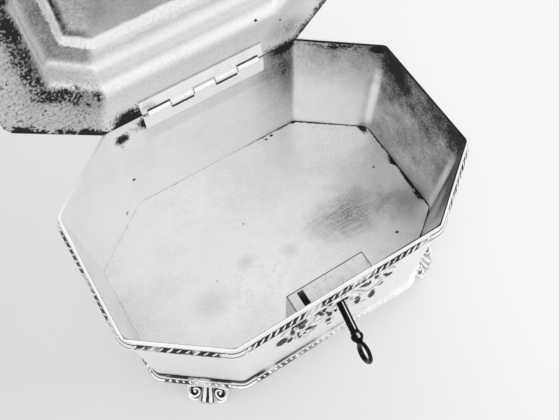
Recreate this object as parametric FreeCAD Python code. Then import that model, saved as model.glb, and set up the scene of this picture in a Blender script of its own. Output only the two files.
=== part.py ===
import FreeCAD, Part
import math
import os

from FreeCAD import Placement, Rotation, Vector

# Eight-sided silver box with a stepped lid on a stop hinge, four cast feet, and a box lock with its key.
# X runs along the hinge, the lock is at the front (-Y) and Z is up.
# The origin lies on the table under the middle of the tub. Lengths are in millimetres.
# All is drawn from the plane under the base ring and lifted onto the feet at the end.
# The lid is drawn closed and then turned back to its stop, and the key is in the lock.

# Tub, measured inside at the rim
inner_length = 160.0
inner_width = 108.0
chamfer_along_x = 33.0
chamfer_along_y = 25.0
wall = 1.0
corner_radius = 6.0
corner_least_share = 0.25
corner_flat_count = 4
rim_height = 74.0
floor_height = 8.5
floor_sheet = 1.0
floor_inset = 1.8
wall_foot_height = 1.5

# Rim wire and the flaring border under it
rim_wire_height = 1.0
rim_wire_depth = 0.4
rim_border_height = 4.6
rim_border_return = 0.8
rim_border_depth_top = 0.3
rim_border_depth_low = 2.1
rim_border_depth_foot = 0.9

# Base ring and its border
base_ring_height = 4.5
base_ring_out = 0.1
base_ring_in = 5.0
base_round = 1.0
base_border_lift = 0.5
base_border_height = 3.0
base_border_depth = 1.8
round_flat_count = 4

# Lid, with reaches measured inward from the rim's inner line and heights from the lid's underside
lid_gap = 0.1
lid_sheet = 0.9
lid_flange_reach = 18.0
lid_cove_radius = 5.3
lid_side_height = 2.1
lid_shoulder_radius = 4.9
lid_ledge_width = 4.3
lid_step_run = 2.2
lid_step_rise = 2.8
lid_panel_lap = 1.2
lid_border_width = 3.4
lid_border_height = 3.2
lid_border_lip = 0.2
lid_open_angle = 100.0

# Hinge
hinge_length = 55.0
knuckle_count = 5
knuckle_radius = 1.7
knuckle_gap = 0.15
knuckle_clearance = 0.25
hinge_pin_radius = 0.7
hinge_pin_fit = 0.05
hinge_pin_end = 0.2
leaf_length = 60.0
leaf_sheet = 1.0
body_leaf_height = 9.5
lid_leaf_width = 8.5
leaf_step = 1.2
stop_gap = 0.05

# Lock case, measured from the keyhole and from the inner face of the front wall
keyhole_x = 0.45
keyhole_drop = 19.3
lock_left = 20.4
lock_right = 14.8
lock_top_drop = 3.5
lock_height = 30.0
lock_depth = 8.0
lock_plate_sheet = 1.1
lock_top_sheet = 1.0
lock_cap_sheet = 0.8
lock_slot_width = 2.8
lock_slot_margin = 0.9
lock_slot_inset = 4.1
lock_post_half = 0.9
lock_post_inset = 2.2
lock_post_span = 14.6
lock_post_end = 0.2
lock_rivet_radius = 0.8
lock_rivet_end = 0.3
lock_rivet_spread = 10.6
lock_rivet_drop = 15.6

# Key, turning axis and ward
key_yaw = 6.5
key_droop = 10.0
key_clearance = 0.25
keyhole_clearance = 0.35
shank_radius = 1.8
shank_front = 14.3
shank_tail = 0.6
pipe_depth = 9.1
drill_pin_radius = 0.94
drill_pin_fit = 0.05
drill_pin_length = 10.1
drill_pin_tail = 0.35
bit_radius = 6.8
bit_thickness = 1.6
ward_radius = 4.7
ward_sheet = 0.6
ward_bite = 0.9
baluster_radius = 2.4
baluster_length = 4.6
bead_radius = 2.05
bead_length = 0.7
neck_radius = 1.1
bow_half_along = 4.0
bow_half_across = 6.2
bow_wire_radius = 1.05
bow_end_share = 0.7
bow_flat_count = 8
bow_twist = 5.0

# Bolt, its guide and its spring
bolt_throw = 5.0
bolt_sheet = 1.7
bolt_height = 6.0
bolt_front_gap = 2.4
bolt_lift = 1.1
bolt_head_height = 3.6
bolt_head_length = 4.6
bolt_start_gap = 1.2
bolt_end_gap = 0.9
talon_roof = 0.9
talon_margin = 0.4
stud_radius = 0.7
stud_fit = 0.1
stud_shoulder_half = 1.2
stud_end = 0.6
stud_roof = 2.0
stud_slot_start = 5.6
spring_sheet = 0.35
spring_gap = 0.1
spring_seat_gap = 0.02
spring_end_inset = 0.6
spring_reach = 19.0

# Staple on the lid
staple_thickness = 2.2
staple_width = 4.2
staple_back_gap = 0.4
staple_foot_length = 8.4
staple_foot_width = 7.0
staple_foot_sheet = 0.9
staple_bar = 1.6
staple_eye_gap = 0.35

# Keyhole cartouche
cartouche_relief = 1.5
cartouche_boss_relief = 2.1
cartouche_boss_half_width = 6.0
cartouche_boss_half_height = 8.6
cartouche_boss_drop = 2.2
scroll_bar = 1.9
scroll_step_count = 14
crest_reach = 11.2
crest_lobe_radius = 1.9
crest_lobe_count = 3
pendant_reach = 26.0
pendant_radius = 2.0
stem_half_width = 0.9

# Cast feet
foot_height = 10.0
foot_width = 19.0
foot_shift = 3.0
foot_flare = 8.0
foot_rail_height = 1.8
foot_tail_in = 3.6
foot_toe_radius = 1.6
foot_pad_start = 4.6
foot_shell_half_top = 2.4
foot_shell_half_low = 4.6
foot_scroll_radius = 3.3
foot_scroll_hole = 1.8
foot_side_count = 8

# Overrun of every cutting body past the face that it cuts
overrun = 2.0

half_width = inner_width / 2
rim_outer = wall + rim_wire_depth
lid_base = rim_height + lid_gap
hinge_y = half_width
hinge_z = rim_height
front_y = -half_width
side_count = 8
circle_turn = 360.0


def rim_corners(out):
    """Plan corners of the rim outline moved outward by out, anticlockwise from the front left."""
    half_x = inner_length / 2 + out
    half_y = half_width + out
    chamfer = math.hypot(chamfer_along_x, chamfer_along_y)
    reach = chamfer_along_y * inner_length / 2 + chamfer_along_x * half_width
    reach = reach - chamfer_along_x * chamfer_along_y + out * chamfer
    corner_x = (reach - chamfer_along_x * half_y) / chamfer_along_y
    corner_y = (reach - chamfer_along_y * half_x) / chamfer_along_x
    front = [(-corner_x, -half_y), (corner_x, -half_y), (half_x, -corner_y), (half_x, corner_y)]
    return front + [(-x, -y) for x, y in front]


def outline_points(out, height):
    """Plan outline moved outward by out, each corner rounded about the same centre by short flats."""
    radius = max(corner_radius + out, corner_radius * corner_least_share)
    corners = [Vector(x, y, height) for x, y in rim_corners(out)]
    points = []
    for index, corner in enumerate(corners):
        before = (corners[index - 1] - corner).normalize()
        after = (corners[(index + 1) % side_count] - corner).normalize()
        half_turn = (math.pi - before.getAngle(after)) / 2
        inward = (before + after).normalize()
        centre = corner + inward * (radius / math.cos(half_turn))
        for step in range(corner_flat_count + 1):
            turn = math.degrees(half_turn) * (2 * step / corner_flat_count - 1)
            points.append(centre - Rotation(Vector(0, 0, 1), turn).multVec(inward) * radius)
    return points


def banded_solid(bands):
    """Solid through outlines that are given as outward place and height, from the lowest up."""
    rings = [outline_points(out, height) for out, height in bands]
    faces = [Part.Face(Part.makePolygon(ring + ring[:1])) for ring in (rings[0], rings[-1])]
    for lower, upper in zip(rings, rings[1:]):
        for index, start in enumerate(lower):
            after = (index + 1) % len(lower)
            corners = [start, lower[after], upper[after], upper[index], start]
            faces.append(Part.Face(Part.makePolygon(corners)))
    return Part.makeSolid(Part.Shell(faces))


def round_bands(outer, middle, radius, start, finish):
    """Bands that follow a round edge about one height, between two angles over the level."""
    bands = []
    for step in range(round_flat_count + 1):
        lean = math.radians(start + (finish - start) * step / round_flat_count)
        bands.append((outer - radius + radius * math.cos(lean), middle + radius * math.sin(lean)))
    return bands


def taper(height):
    """Outward position of the tub's inner face at a height, which is negative below the rim."""
    return -floor_inset * (rim_height - height) / (rim_height - floor_height)


def tub_solid(out, low, high):
    """Solid that fills the tapering tub between two heights, moved outward by out."""
    return banded_solid([(taper(low) + out, low), (taper(high) + out, high)])


def tub_inside(low, high):
    return tub_solid(0, low, high)


def tub_outside():
    return tub_solid(wall, -overrun, rim_height + overrun)


def section_face(points):
    """Face in the plane of X and Z. A point after the word arc is the middle of an arc to the next."""
    flat = [Vector(item[0], 0, item[1]) if item != "arc" else item for item in points]
    edges = []
    current = flat[0]
    index = 1
    while index < len(flat):
        if flat[index] == "arc":
            edges.append(Part.Arc(current, flat[index + 1], flat[index + 2]).toShape())
            current = flat[index + 2]
            index += 3
        else:
            edges.append(Part.makeLine(current, flat[index]))
            current = flat[index]
            index += 1
    if current.distanceToPoint(flat[0]) > 0:
        edges.append(Part.makeLine(current, flat[0]))
    return Part.Face(Part.Wire(edges))


def quarter_middle(centre, radius, angle):
    """Point on a circle, for the middle of an arc."""
    turn = math.radians(angle)
    return (centre[0] + radius * math.cos(turn), centre[1] + radius * math.sin(turn))


def plan_side(index, out):
    """Start, direction, outward normal and length of one side of the outline."""
    corners = rim_corners(out)
    start = Vector(corners[index][0], corners[index][1], 0)
    finish = Vector(corners[(index + 1) % side_count][0], corners[(index + 1) % side_count][1], 0)
    along = finish - start
    length = along.Length
    along.normalize()
    return start, along, Vector(along.y, -along.x, 0), length


def mitred_ring(points):
    """Moulding that runs round all eight sides with mitred corners, its section given outward and up."""
    section = section_face(points)
    box = section.BoundBox
    low_out = box.XMin - overrun
    high_out = box.XMax + overrun
    low = box.ZMin - overrun
    rise = box.ZLength + 2 * overrun
    run = overrun + abs(high_out)
    sides = []
    for index in range(side_count):
        outer = rim_corners(high_out)
        inner = rim_corners(low_out)
        after = (index + 1) % side_count
        plan = [outer[index], outer[after], inner[after], inner[index], outer[index]]
        wedge = Part.Face(Part.makePolygon([Vector(x, y, low) for x, y in plan]))
        wedge = wedge.extrude(Vector(0, 0, rise))
        start, along, normal, length = plan_side(index, 0)
        turn = math.degrees(math.atan2(normal.y, normal.x))
        bar = section.copy()
        bar.Placement = Placement(start - along * run, Rotation(Vector(0, 0, 1), turn))
        bar = bar.extrude(along * (length + 2 * run))
        sides.append(bar.common(wedge))
    return joined(sides)


def joined(shapes):
    """Union of shapes that meet, as one solid."""
    union = shapes[0].fuse(shapes[1:])
    return union.removeSplitter().Solids[0]


def without(shape, *cutters):
    for cutter in cutters:
        shape = shape.cut(cutter)
    return shape.Solids[0] if len(shape.Solids) == 1 else shape


def block(x_low, x_high, y_low, y_high, z_low, z_high):
    return Part.makeBox(x_high - x_low, y_high - y_low, z_high - z_low, Vector(x_low, y_low, z_low))


def rod_along_y(radius, x, z, y_low, y_high):
    return Part.makeCylinder(radius, y_high - y_low, Vector(x, y_low, z), Vector(0, 1, 0))


def prism_along_y(side_total, radius, x, z, y_low, y_high):
    """Rod with flat sides, its radius measured to the middle of a side."""
    corner = radius / math.cos(math.pi / side_total)
    points = []
    for side in range(side_total + 1):
        turn = math.pi * (2 * side + 1) / side_total
        points.append(Vector(x + corner * math.cos(turn), y_low, z + corner * math.sin(turn)))
    return Part.Face(Part.makePolygon(points)).extrude(Vector(0, y_high - y_low, 0))


# Hinge geometry that several pieces share


def hinge_rod(radius, x_low, x_high):
    return Part.makeCylinder(radius, x_high - x_low, Vector(x_low, hinge_y, hinge_z), Vector(1, 0, 0))


def knuckle_span(index):
    pitch = hinge_length / knuckle_count
    start = -hinge_length / 2 + index * pitch
    return start + knuckle_gap / 2, start + pitch - knuckle_gap / 2


def hinge_groove():
    """Room for the whole row of knuckles and its pin in the back wall and in the lid's edge."""
    half = hinge_length / 2 + hinge_pin_end + knuckle_gap
    return hinge_rod(knuckle_radius + knuckle_clearance, -half, half)


def stop_bevel(sign, gap):
    """Wedge behind the hinge axis that is cut away, so that the two rear edges meet at the open stop."""
    back = wall + rim_wire_depth + rim_border_height + overrun
    slope = math.tan(math.radians(lid_open_angle / 2))
    far = back * slope + overrun
    drop = gap / math.cos(math.radians(lid_open_angle / 2))
    half_x = inner_length
    points = [
        (0, sign * drop),
        (back, sign * (back * slope + drop)),
        (back, -sign * far),
        (0, -sign * far),
        (0, sign * drop),
    ]
    face = Part.Face(Part.makePolygon([Vector(-half_x, hinge_y + y, hinge_z + z) for y, z in points]))
    return face.extrude(Vector(2 * half_x, 0, 0))


def body_bevel():
    return stop_bevel(-1, 0)


def lid_bevel():
    return stop_bevel(1, stop_gap)


# Key axis, which leans down and to the left of the keyhole as the loose key hangs


def key_frame():
    yaw = math.radians(key_yaw)
    droop = math.radians(key_droop)
    outward = Vector(-math.sin(yaw) * math.cos(droop), -math.cos(yaw) * math.cos(droop), -math.sin(droop))
    upward = (Vector(0, 0, 1) - outward * outward.z).normalize()
    sideways = upward.cross(outward)
    origin = Vector(keyhole_x, front_y, rim_height - keyhole_drop)
    return Placement(origin, Rotation(sideways, upward, outward, "ZYX")), origin, outward


key_place, key_origin, key_outward = key_frame()
key_tilt_cosine = abs(key_outward.y)
bit_wobble = bit_radius * math.sqrt(1 - key_tilt_cosine ** 2)
bit_front = (lock_plate_sheet + bit_wobble + key_clearance) / key_tilt_cosine
bit_back = (lock_depth - lock_cap_sheet - bit_wobble - key_clearance) / key_tilt_cosine


def key_rod(radius, inner, outer):
    """Cylinder on the key's axis between two distances outward from the wall's inner face."""
    rod = Part.makeCylinder(radius, outer - inner, Vector(0, 0, inner))
    rod.Placement = key_place
    return rod


def axis_point(y):
    """Point of the key's axis at a given Y."""
    return key_origin + key_outward * ((y - key_origin.y) / key_outward.y)


# Lock planes, worked out from the case


lock_low_x = keyhole_x - lock_left
lock_high_x = keyhole_x + lock_right
lock_top = rim_height - lock_top_drop
lock_low = lock_top - lock_height
plate_back = front_y + lock_plate_sheet
cap_back = front_y + lock_depth
cap_inner = cap_back - lock_cap_sheet
roof = lock_top - lock_top_sheet
staple_x = lock_low_x + lock_slot_inset + lock_slot_width / 2
staple_back = cap_back - lock_slot_margin - staple_back_gap
staple_front = staple_back - staple_width
bolt_front = plate_back + bolt_front_gap
bolt_middle = bolt_front + bolt_sheet / 2
bolt_axis = axis_point(bolt_middle)
bolt_low = bolt_axis.z + bit_radius - bolt_lift
bolt_high = bolt_low + bolt_height
bolt_tip = staple_x + staple_thickness / 2 + bolt_start_gap
bolt_end = lock_high_x - lock_cap_sheet - bolt_end_gap
head_low = bolt_low + (bolt_height - bolt_head_height) / 2
stud_x = bolt_tip + stud_slot_start + stud_fit + stud_radius
stud_z = bolt_high - stud_roof


# Body of the box


def keyhole_cutter():
    """Round hole with a slot under it for the bit, along the key's axis."""
    radius = shank_radius + keyhole_clearance
    half_slot = bit_thickness / 2 + keyhole_clearance
    inner = -(lock_depth - lock_cap_sheet)
    outer = shank_front
    hole = Part.makeCylinder(radius, outer - inner, Vector(0, 0, inner))
    depth = bit_radius + keyhole_clearance - half_slot
    slot = Part.makeBox(2 * half_slot, depth, outer - inner, Vector(-half_slot, -depth, inner))
    end = Part.makeCylinder(half_slot, outer - inner, Vector(0, -depth, inner))
    cutter = joined([hole, slot, end])
    cutter.Placement = key_place
    return cutter


def rivet_places():
    return [(keyhole_x + side * lock_rivet_spread, lock_top - lock_rivet_drop) for side in (-1, 1)]


def rivet_holes():
    outer = front_y - wall - overrun
    return [rod_along_y(lock_rivet_radius, x, z, outer, plate_back) for x, z in rivet_places()]


def body_wall():
    outside = tub_solid(wall, wall_foot_height, rim_height)
    inside = tub_inside(wall_foot_height - overrun, rim_height + overrun)
    shell = without(outside, inside, body_bevel(), hinge_groove(), keyhole_cutter())
    return without(shell, *rivet_holes())


def floor_plate():
    return tub_inside(floor_height - floor_sheet, floor_height)


def wire_solid(middle):
    """Half-round wire about one height, still filled inside."""
    quarter = circle_turn / 4
    return banded_solid(round_bands(rim_outer, middle, rim_wire_height / 2, -quarter, quarter))


def rim_wire():
    wire = wire_solid(rim_height - rim_wire_height / 2)
    return without(wire, tub_outside(), body_bevel(), hinge_groove())


def rim_border():
    """Cast border that flares outward below the wire and turns back under its lowest leaves."""
    high = rim_height - rim_wire_height
    low = high - rim_border_height
    flared = banded_solid([
        (wall + rim_border_depth_foot, low),
        (wall + rim_border_depth_low, low + rim_border_return),
        (wall + rim_border_depth_top, high),
    ])
    return without(flared, tub_outside(), body_bevel(), hinge_groove())


def base_ring():
    straight = base_ring_height - base_round
    bands = round_bands(base_ring_out, straight, base_round, 0, circle_turn / 4)
    ring = banded_solid([(base_ring_out, 0)] + bands)
    opening = [Vector(x, y, -overrun) for x, y in rim_corners(-base_ring_in)]
    opening = Part.Face(Part.makePolygon(opening + opening[:1]))
    opening = opening.extrude(Vector(0, 0, base_ring_height + 2 * overrun))
    return without(ring, opening, tub_solid(wall, wall_foot_height, rim_height))


def base_border():
    """Cast border round the base ring, steep below its crown and sloping above it."""
    low = base_border_lift
    crown = base_ring_out + base_border_depth
    border = banded_solid([
        (base_ring_out, low),
        (crown, low + base_border_height / 6),
        (crown, low + base_border_height / 2),
        (base_ring_out, low + base_border_height),
    ])
    return without(border, banded_solid([(base_ring_out, 0), (base_ring_out, base_ring_height)]))


# Cast foot, drawn with X across the chamfer, Y outward from the rim line and Z up


def foot_side_profile():
    """Side view of the foot: a slab that curls outward from the base ring to its toe."""
    toe = foot_flare - foot_toe_radius
    low = -foot_height
    outer_top = base_ring_out + base_border_depth / 2
    knee = foot_height / 2
    face = section_face([
        (-foot_tail_in, 0),
        (outer_top, 0),
        (outer_top + foot_toe_radius / 4, -foot_height / 3),
        (toe - foot_toe_radius / 2, low + 2 * foot_toe_radius),
        (foot_flare, low + foot_toe_radius),
        (foot_flare, low + foot_toe_radius / 3),
        (toe, low),
        (foot_pad_start, low),
        (foot_toe_radius / 2, -knee),
        (-foot_tail_in, -foot_rail_height),
    ])
    face.Placement = Placement(Vector(-foot_width, 0, 0), Rotation(Vector(0, 0, 1), circle_turn / 4))
    return face.extrude(Vector(2 * foot_width, 0, 0))


def foot_front_outline():
    """Front view: a rail, a shell that widens to the toe, and an open scroll at each side of it."""
    reach = foot_flare + overrun
    back = -foot_tail_in - overrun
    half = foot_width / 2
    low = -foot_height - overrun
    shell = section_face([
        (-foot_shell_half_top, 0),
        (foot_shell_half_top, 0),
        (foot_shell_half_low, -foot_height * 3 / 4),
        (foot_shell_half_low - foot_toe_radius, low),
        (foot_toe_radius - foot_shell_half_low, low),
        (-foot_shell_half_low, -foot_height * 3 / 4),
    ])
    shell = shell.extrude(Vector(0, back - reach, 0))
    shell.translate(Vector(0, reach, 0))
    rail = block(-half, half, back, reach, -foot_rail_height, 0)
    pieces = [shell, rail]
    centre_z = -foot_rail_height / 2 - foot_scroll_radius
    for side in (-1, 1):
        centre_x = side * (half - foot_scroll_radius)
        scroll = prism_along_y(foot_side_count, foot_scroll_radius, centre_x, centre_z, back, reach)
        pieces.append(scroll)
    outline = joined(pieces)
    for side in (-1, 1):
        centre_x = side * (half - foot_scroll_radius)
        near = back - overrun
        far = reach + overrun
        hole = prism_along_y(foot_side_count, foot_scroll_hole, centre_x, centre_z, near, far)
        outline = outline.cut(hole)
    return outline


def foot_solid():
    foot = foot_side_profile().common(foot_front_outline())
    return max(foot.Solids, key=lambda solid: solid.Volume)


def placed_foot(side_index):
    """Foot on one chamfer, moved from its middle towards the long side."""
    start, along, normal, length = plan_side(side_index, 0)
    middle = start + along * (length / 2)
    place = middle - along * math.copysign(foot_shift, along.x * middle.x)
    turn = math.degrees(math.atan2(normal.y, normal.x)) - circle_turn / 4
    foot = foot_solid()
    foot.Placement = Placement(place, Rotation(Vector(0, 0, 1), turn))
    return foot


# Lid


def lid_section():
    """Section of the lid's sheet: flange, cove, upright, round shoulder, ledge and step."""
    low = lid_base
    cove_centre = (-lid_flange_reach, low + lid_cove_radius)
    side_out = -lid_flange_reach - lid_cove_radius
    side_top = low + lid_cove_radius + lid_side_height
    shoulder_centre = (side_out - lid_shoulder_radius, side_top)
    ledge = side_top + lid_shoulder_radius
    ledge_end = shoulder_centre[0] - lid_ledge_width
    panel = ledge + lid_step_rise
    step_end = ledge_end - lid_step_run
    inner = step_end - lid_panel_lap
    shift = lid_sheet * math.tan(math.atan2(lid_step_rise, lid_step_run) / 2)
    half_turn = circle_turn / 2
    eighth = circle_turn / 8
    return [
        (wall, low),
        (-lid_flange_reach, low),
        "arc", quarter_middle(cove_centre, lid_cove_radius, half_turn + eighth), (side_out, cove_centre[1]),
        (side_out, side_top),
        "arc", quarter_middle(shoulder_centre, lid_shoulder_radius, eighth), (shoulder_centre[0], ledge),
        (ledge_end, ledge),
        (step_end, panel),
        (inner, panel),
        (inner, panel + lid_sheet),
        (step_end + shift, panel + lid_sheet),
        (ledge_end + shift, ledge + lid_sheet),
        (shoulder_centre[0], ledge + lid_sheet),
        "arc", quarter_middle(shoulder_centre, lid_shoulder_radius + lid_sheet, eighth),
        (side_out + lid_sheet, side_top),
        (side_out + lid_sheet, cove_centre[1]),
        "arc", quarter_middle(cove_centre, lid_cove_radius - lid_sheet, half_turn + eighth),
        (-lid_flange_reach, low + lid_sheet),
        (wall, low + lid_sheet),
    ], inner, panel


def lid_shell():
    points, inner, panel = lid_section()
    outline = [Vector(x, y, panel) for x, y in rim_corners(inner)]
    plate = Part.Face(Part.makePolygon(outline + outline[:1])).extrude(Vector(0, 0, lid_sheet))
    room = banded_solid([(wall, lid_base - overrun), (wall, panel + overrun)])
    sheet = joined([mitred_ring(points), plate]).common(room)
    return without(sheet.Solids[0], lid_bevel(), hinge_groove())


def lid_rim_wire():
    wire = wire_solid(lid_base + rim_wire_height / 2)
    core = banded_solid([(wall, lid_base - overrun), (wall, lid_base + overrun)])
    return without(wire, core, lid_bevel(), hinge_groove())


def lid_border():
    """Border strip that sits on the flange and on the wire round it."""
    seat = lid_base + lid_sheet
    wire_top = lid_base + rim_wire_height
    outer = rim_outer - lid_border_lip
    inner = outer - lid_border_width
    high = wire_top + lid_border_height
    foot = banded_solid([(wall, seat), (wall, wire_top)])
    strip = banded_solid([
        (outer, wire_top),
        (outer - lid_border_lip, wire_top + lid_border_height / 2),
        (wall - lid_border_lip, high),
    ])
    room = banded_solid([(inner, seat - overrun), (inner, high + overrun)])
    return without(joined([foot, strip]), room, lid_bevel(), hinge_groove())


# Hinge pieces


def body_hinge_leaf():
    low = hinge_z - body_leaf_height
    half = leaf_length / 2
    front = hinge_y - leaf_sheet
    room = tub_inside(floor_height, rim_height)
    plate = block(-half, half, front, hinge_y + overrun, low, hinge_z - leaf_step)
    pieces = [plate.common(room)]
    for index in range(0, knuckle_count, 2):
        low_x, high_x = knuckle_span(index)
        web = block(low_x, high_x, front, hinge_y + overrun, hinge_z - 2 * leaf_step, hinge_z)
        pieces.append(web.common(room))
        pieces.append(hinge_rod(knuckle_radius, low_x, high_x))
    return cleared_leaf(pieces, range(1, knuckle_count, 2))


def lid_hinge_leaf():
    half = leaf_length / 2
    low = lid_base - leaf_sheet
    near = hinge_y - leaf_sheet - knuckle_clearance
    pieces = [block(-half, half, hinge_y - lid_leaf_width, near, low, lid_base)]
    for index in range(1, knuckle_count, 2):
        low_x, high_x = knuckle_span(index)
        pieces.append(block(low_x, high_x, near - leaf_step, hinge_y, low, lid_base))
        pieces.append(hinge_rod(knuckle_radius, low_x, high_x))
    return cleared_leaf(pieces, range(0, knuckle_count, 2))


def cleared_leaf(pieces, other_knuckles):
    """Leaf with its knuckles, bored for the pin and cut back round the other leaf's knuckles."""
    leaf = joined(pieces)
    leaf = leaf.cut(hinge_rod(hinge_pin_radius + hinge_pin_fit, -hinge_length, hinge_length))
    for index in other_knuckles:
        low_x, high_x = knuckle_span(index)
        room = hinge_rod(knuckle_radius + knuckle_clearance, low_x - knuckle_gap, high_x + knuckle_gap)
        leaf = leaf.cut(room)
    return leaf.Solids[0]


def hinge_pin():
    half = hinge_length / 2 + hinge_pin_end
    return hinge_rod(hinge_pin_radius, -half, half)


# Lock


def lock_slot():
    """Slot in the lock's top through which the lid's staple enters."""
    low_x = staple_x - lock_slot_width / 2
    high_x = staple_x + lock_slot_width / 2
    near = front_y + lock_slot_margin
    return block(low_x, high_x, near, cap_back - lock_slot_margin, roof - overrun, lock_top + overrun)


def lock_plate():
    """Plate on the front wall, with its upper edge turned in to make the lock's top."""
    upright = block(lock_low_x, lock_high_x, front_y - overrun, plate_back, lock_low, lock_top)
    top = block(lock_low_x, lock_high_x, front_y - overrun, cap_back, roof, lock_top)
    plate = joined([upright, top]).common(tub_inside(floor_height, rim_height))
    return without(plate, lock_slot(), keyhole_cutter(), *rivet_holes())


def post_places():
    low = lock_low + lock_post_inset
    sides = [lock_low_x + lock_post_inset, lock_high_x - lock_post_inset]
    return [(x, z) for x in sides for z in (low, low + lock_post_span)]


def square_posts(back):
    half = lock_post_half
    return [block(x - half, x + half, plate_back, back, z - half, z + half) for x, z in post_places()]


def lock_cap():
    """Pan that closes the works, with square holes for its posts and a round one for the drill pin."""
    outer = block(lock_low_x, lock_high_x, plate_back, cap_back, lock_low, roof)
    sheet = lock_cap_sheet
    low_x = lock_low_x + sheet
    high_x = lock_high_x - sheet
    hollow = block(low_x, high_x, plate_back - sheet, cap_inner, lock_low + sheet, roof + sheet)
    pin_hole = key_rod(drill_pin_radius + drill_pin_fit, -lock_depth - overrun, 0)
    return without(outer, hollow, pin_hole, *square_posts(cap_back + overrun))


def lock_posts():
    """Four square posts that carry the cap, filed nearly flush with its back."""
    return Part.makeCompound(square_posts(cap_back + lock_post_end))


def lock_rivets():
    """Two rivets that hold the plate to the front wall, flush outside under the cartouche."""
    rivets = []
    for x, z in rivet_places():
        stem = rod_along_y(lock_rivet_radius, x, z, front_y - wall - overrun, plate_back + lock_rivet_end)
        rivets.append(stem.common(tub_outside()).Solids[0])
    return Part.makeCompound(rivets)


def drill_pin():
    tail = (lock_depth + drill_pin_tail) / key_tilt_cosine
    return key_rod(drill_pin_radius, -tail, drill_pin_length - tail)


def ward():
    """Ring ward on the cap, round the drill pin."""
    front = -bit_back + ward_bite
    outer = key_rod(ward_radius + ward_sheet / 2, -lock_depth - overrun, front)
    inner = key_rod(ward_radius - ward_sheet / 2, -lock_depth - 2 * overrun, front + overrun)
    works = block(lock_low_x, lock_high_x, plate_back, cap_inner, lock_low, roof)
    return without(outer, inner).common(works).Solids[0]


def talon_cutter():
    """Notch in the bolt's lower edge, wide enough for the bit through its whole pass."""
    chord = math.sqrt(bit_radius ** 2 - (bit_radius - bolt_lift) ** 2)
    pass_share = math.asin(chord / bit_radius) / (2 * math.pi)
    half = chord + bit_thickness / 2 + bolt_throw * pass_share + talon_margin
    centre = bolt_axis.x + bolt_throw / 2
    high = bolt_low + bolt_lift + talon_roof
    near = bolt_front - overrun
    far = bolt_front + bolt_sheet + overrun
    return block(centre - half, centre + half, near, far, bolt_low - overrun, high)


def bolt():
    back = bolt_front + bolt_sheet
    shoulder = bolt_tip + bolt_head_length
    bar = block(shoulder, bolt_end, bolt_front, back, bolt_low, bolt_high)
    head_high = head_low + bolt_head_height
    head = block(bolt_tip, shoulder + bolt_head_height, bolt_front, back, head_low, head_high)
    slot_radius = stud_radius + stud_fit
    slot_start = stud_x
    slot_end = stud_x + bolt_throw
    near = bolt_front - overrun
    far = back + overrun
    slot = [
        rod_along_y(slot_radius, slot_start, stud_z, near, far),
        rod_along_y(slot_radius, slot_end, stud_z, near, far),
        block(slot_start, slot_end, near, far, stud_z - slot_radius, stud_z + slot_radius),
    ]
    return without(joined([bar, head]), talon_cutter(), *slot)


def bolt_guide_stud():
    """Stud on the plate with a square shoulder, on which the bolt's slot runs."""
    half = stud_shoulder_half
    near = bolt_front - stud_fit
    shoulder = block(stud_x - half, stud_x + half, plate_back, near, stud_z - half, stud_z + half)
    stem = rod_along_y(stud_radius, stud_x, stud_z, plate_back, bolt_front + bolt_sheet + stud_end)
    return joined([shoulder, stem])


def bolt_spring():
    """Bowed leaf between the lock's top and the upper edge of the bolt."""
    high_x = lock_high_x - lock_cap_sheet - spring_end_inset
    low_x = high_x - spring_reach
    centre_x = (low_x + high_x) / 2
    low = bolt_high + spring_gap
    crown = roof - spring_seat_gap
    strip = section_face([
        (low_x, low),
        "arc", (centre_x, crown - spring_sheet), (high_x, low),
        (high_x, low + spring_sheet),
        "arc", (centre_x, crown), (low_x, low + spring_sheet),
    ])
    strip = strip.extrude(Vector(0, bolt_sheet, 0))
    strip.translate(Vector(0, bolt_front, 0))
    return strip


def lid_staple():
    """Foot plate under the lid's flange with a tongue that has an eye for the bolt."""
    eye_low = head_low - staple_eye_gap
    eye_high = head_low + bolt_head_height + staple_eye_gap
    low = eye_low - staple_bar
    near = staple_front
    tongue = block(
        staple_x - staple_thickness / 2, staple_x + staple_thickness / 2, near, staple_back, low, lid_base
    )
    middle = (near + staple_back) / 2
    foot = block(
        staple_x - staple_foot_length / 2,
        staple_x + staple_foot_length / 2,
        middle - staple_foot_width / 2,
        middle + staple_foot_width / 2,
        lid_base - staple_foot_sheet,
        lid_base,
    )
    eye = block(
        staple_x - staple_thickness,
        staple_x + staple_thickness,
        bolt_front - staple_eye_gap,
        bolt_front + bolt_sheet + staple_eye_gap,
        eye_low,
        eye_high,
    )
    return without(joined([tongue, foot]), eye)


# Key, drawn on its own axis with Z outward, Y up and the bit hanging down


def key_turned_part():
    """Pipe shank, bead, baluster and neck, turned about the key's axis."""
    inner = -bit_back - shank_tail
    bead = shank_front + bead_length
    neck = bead + baluster_length
    face = section_face([
        (0, inner),
        (shank_radius, inner),
        (shank_radius, shank_front),
        (bead_radius, shank_front + bead_length / 3),
        (bead_radius, bead - bead_length / 3),
        (shank_radius, bead),
        (baluster_radius, bead + baluster_length / 4),
        (baluster_radius, bead + baluster_length / 2),
        ((baluster_radius + 2 * neck_radius) / 3, neck - baluster_length / 5),
        (neck_radius, neck),
        (neck_radius, neck + bow_wire_radius),
        (0, neck + bow_wire_radius),
    ])
    return face.revolve(Vector(0, 0, 0), Vector(0, 0, 1), circle_turn)


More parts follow.
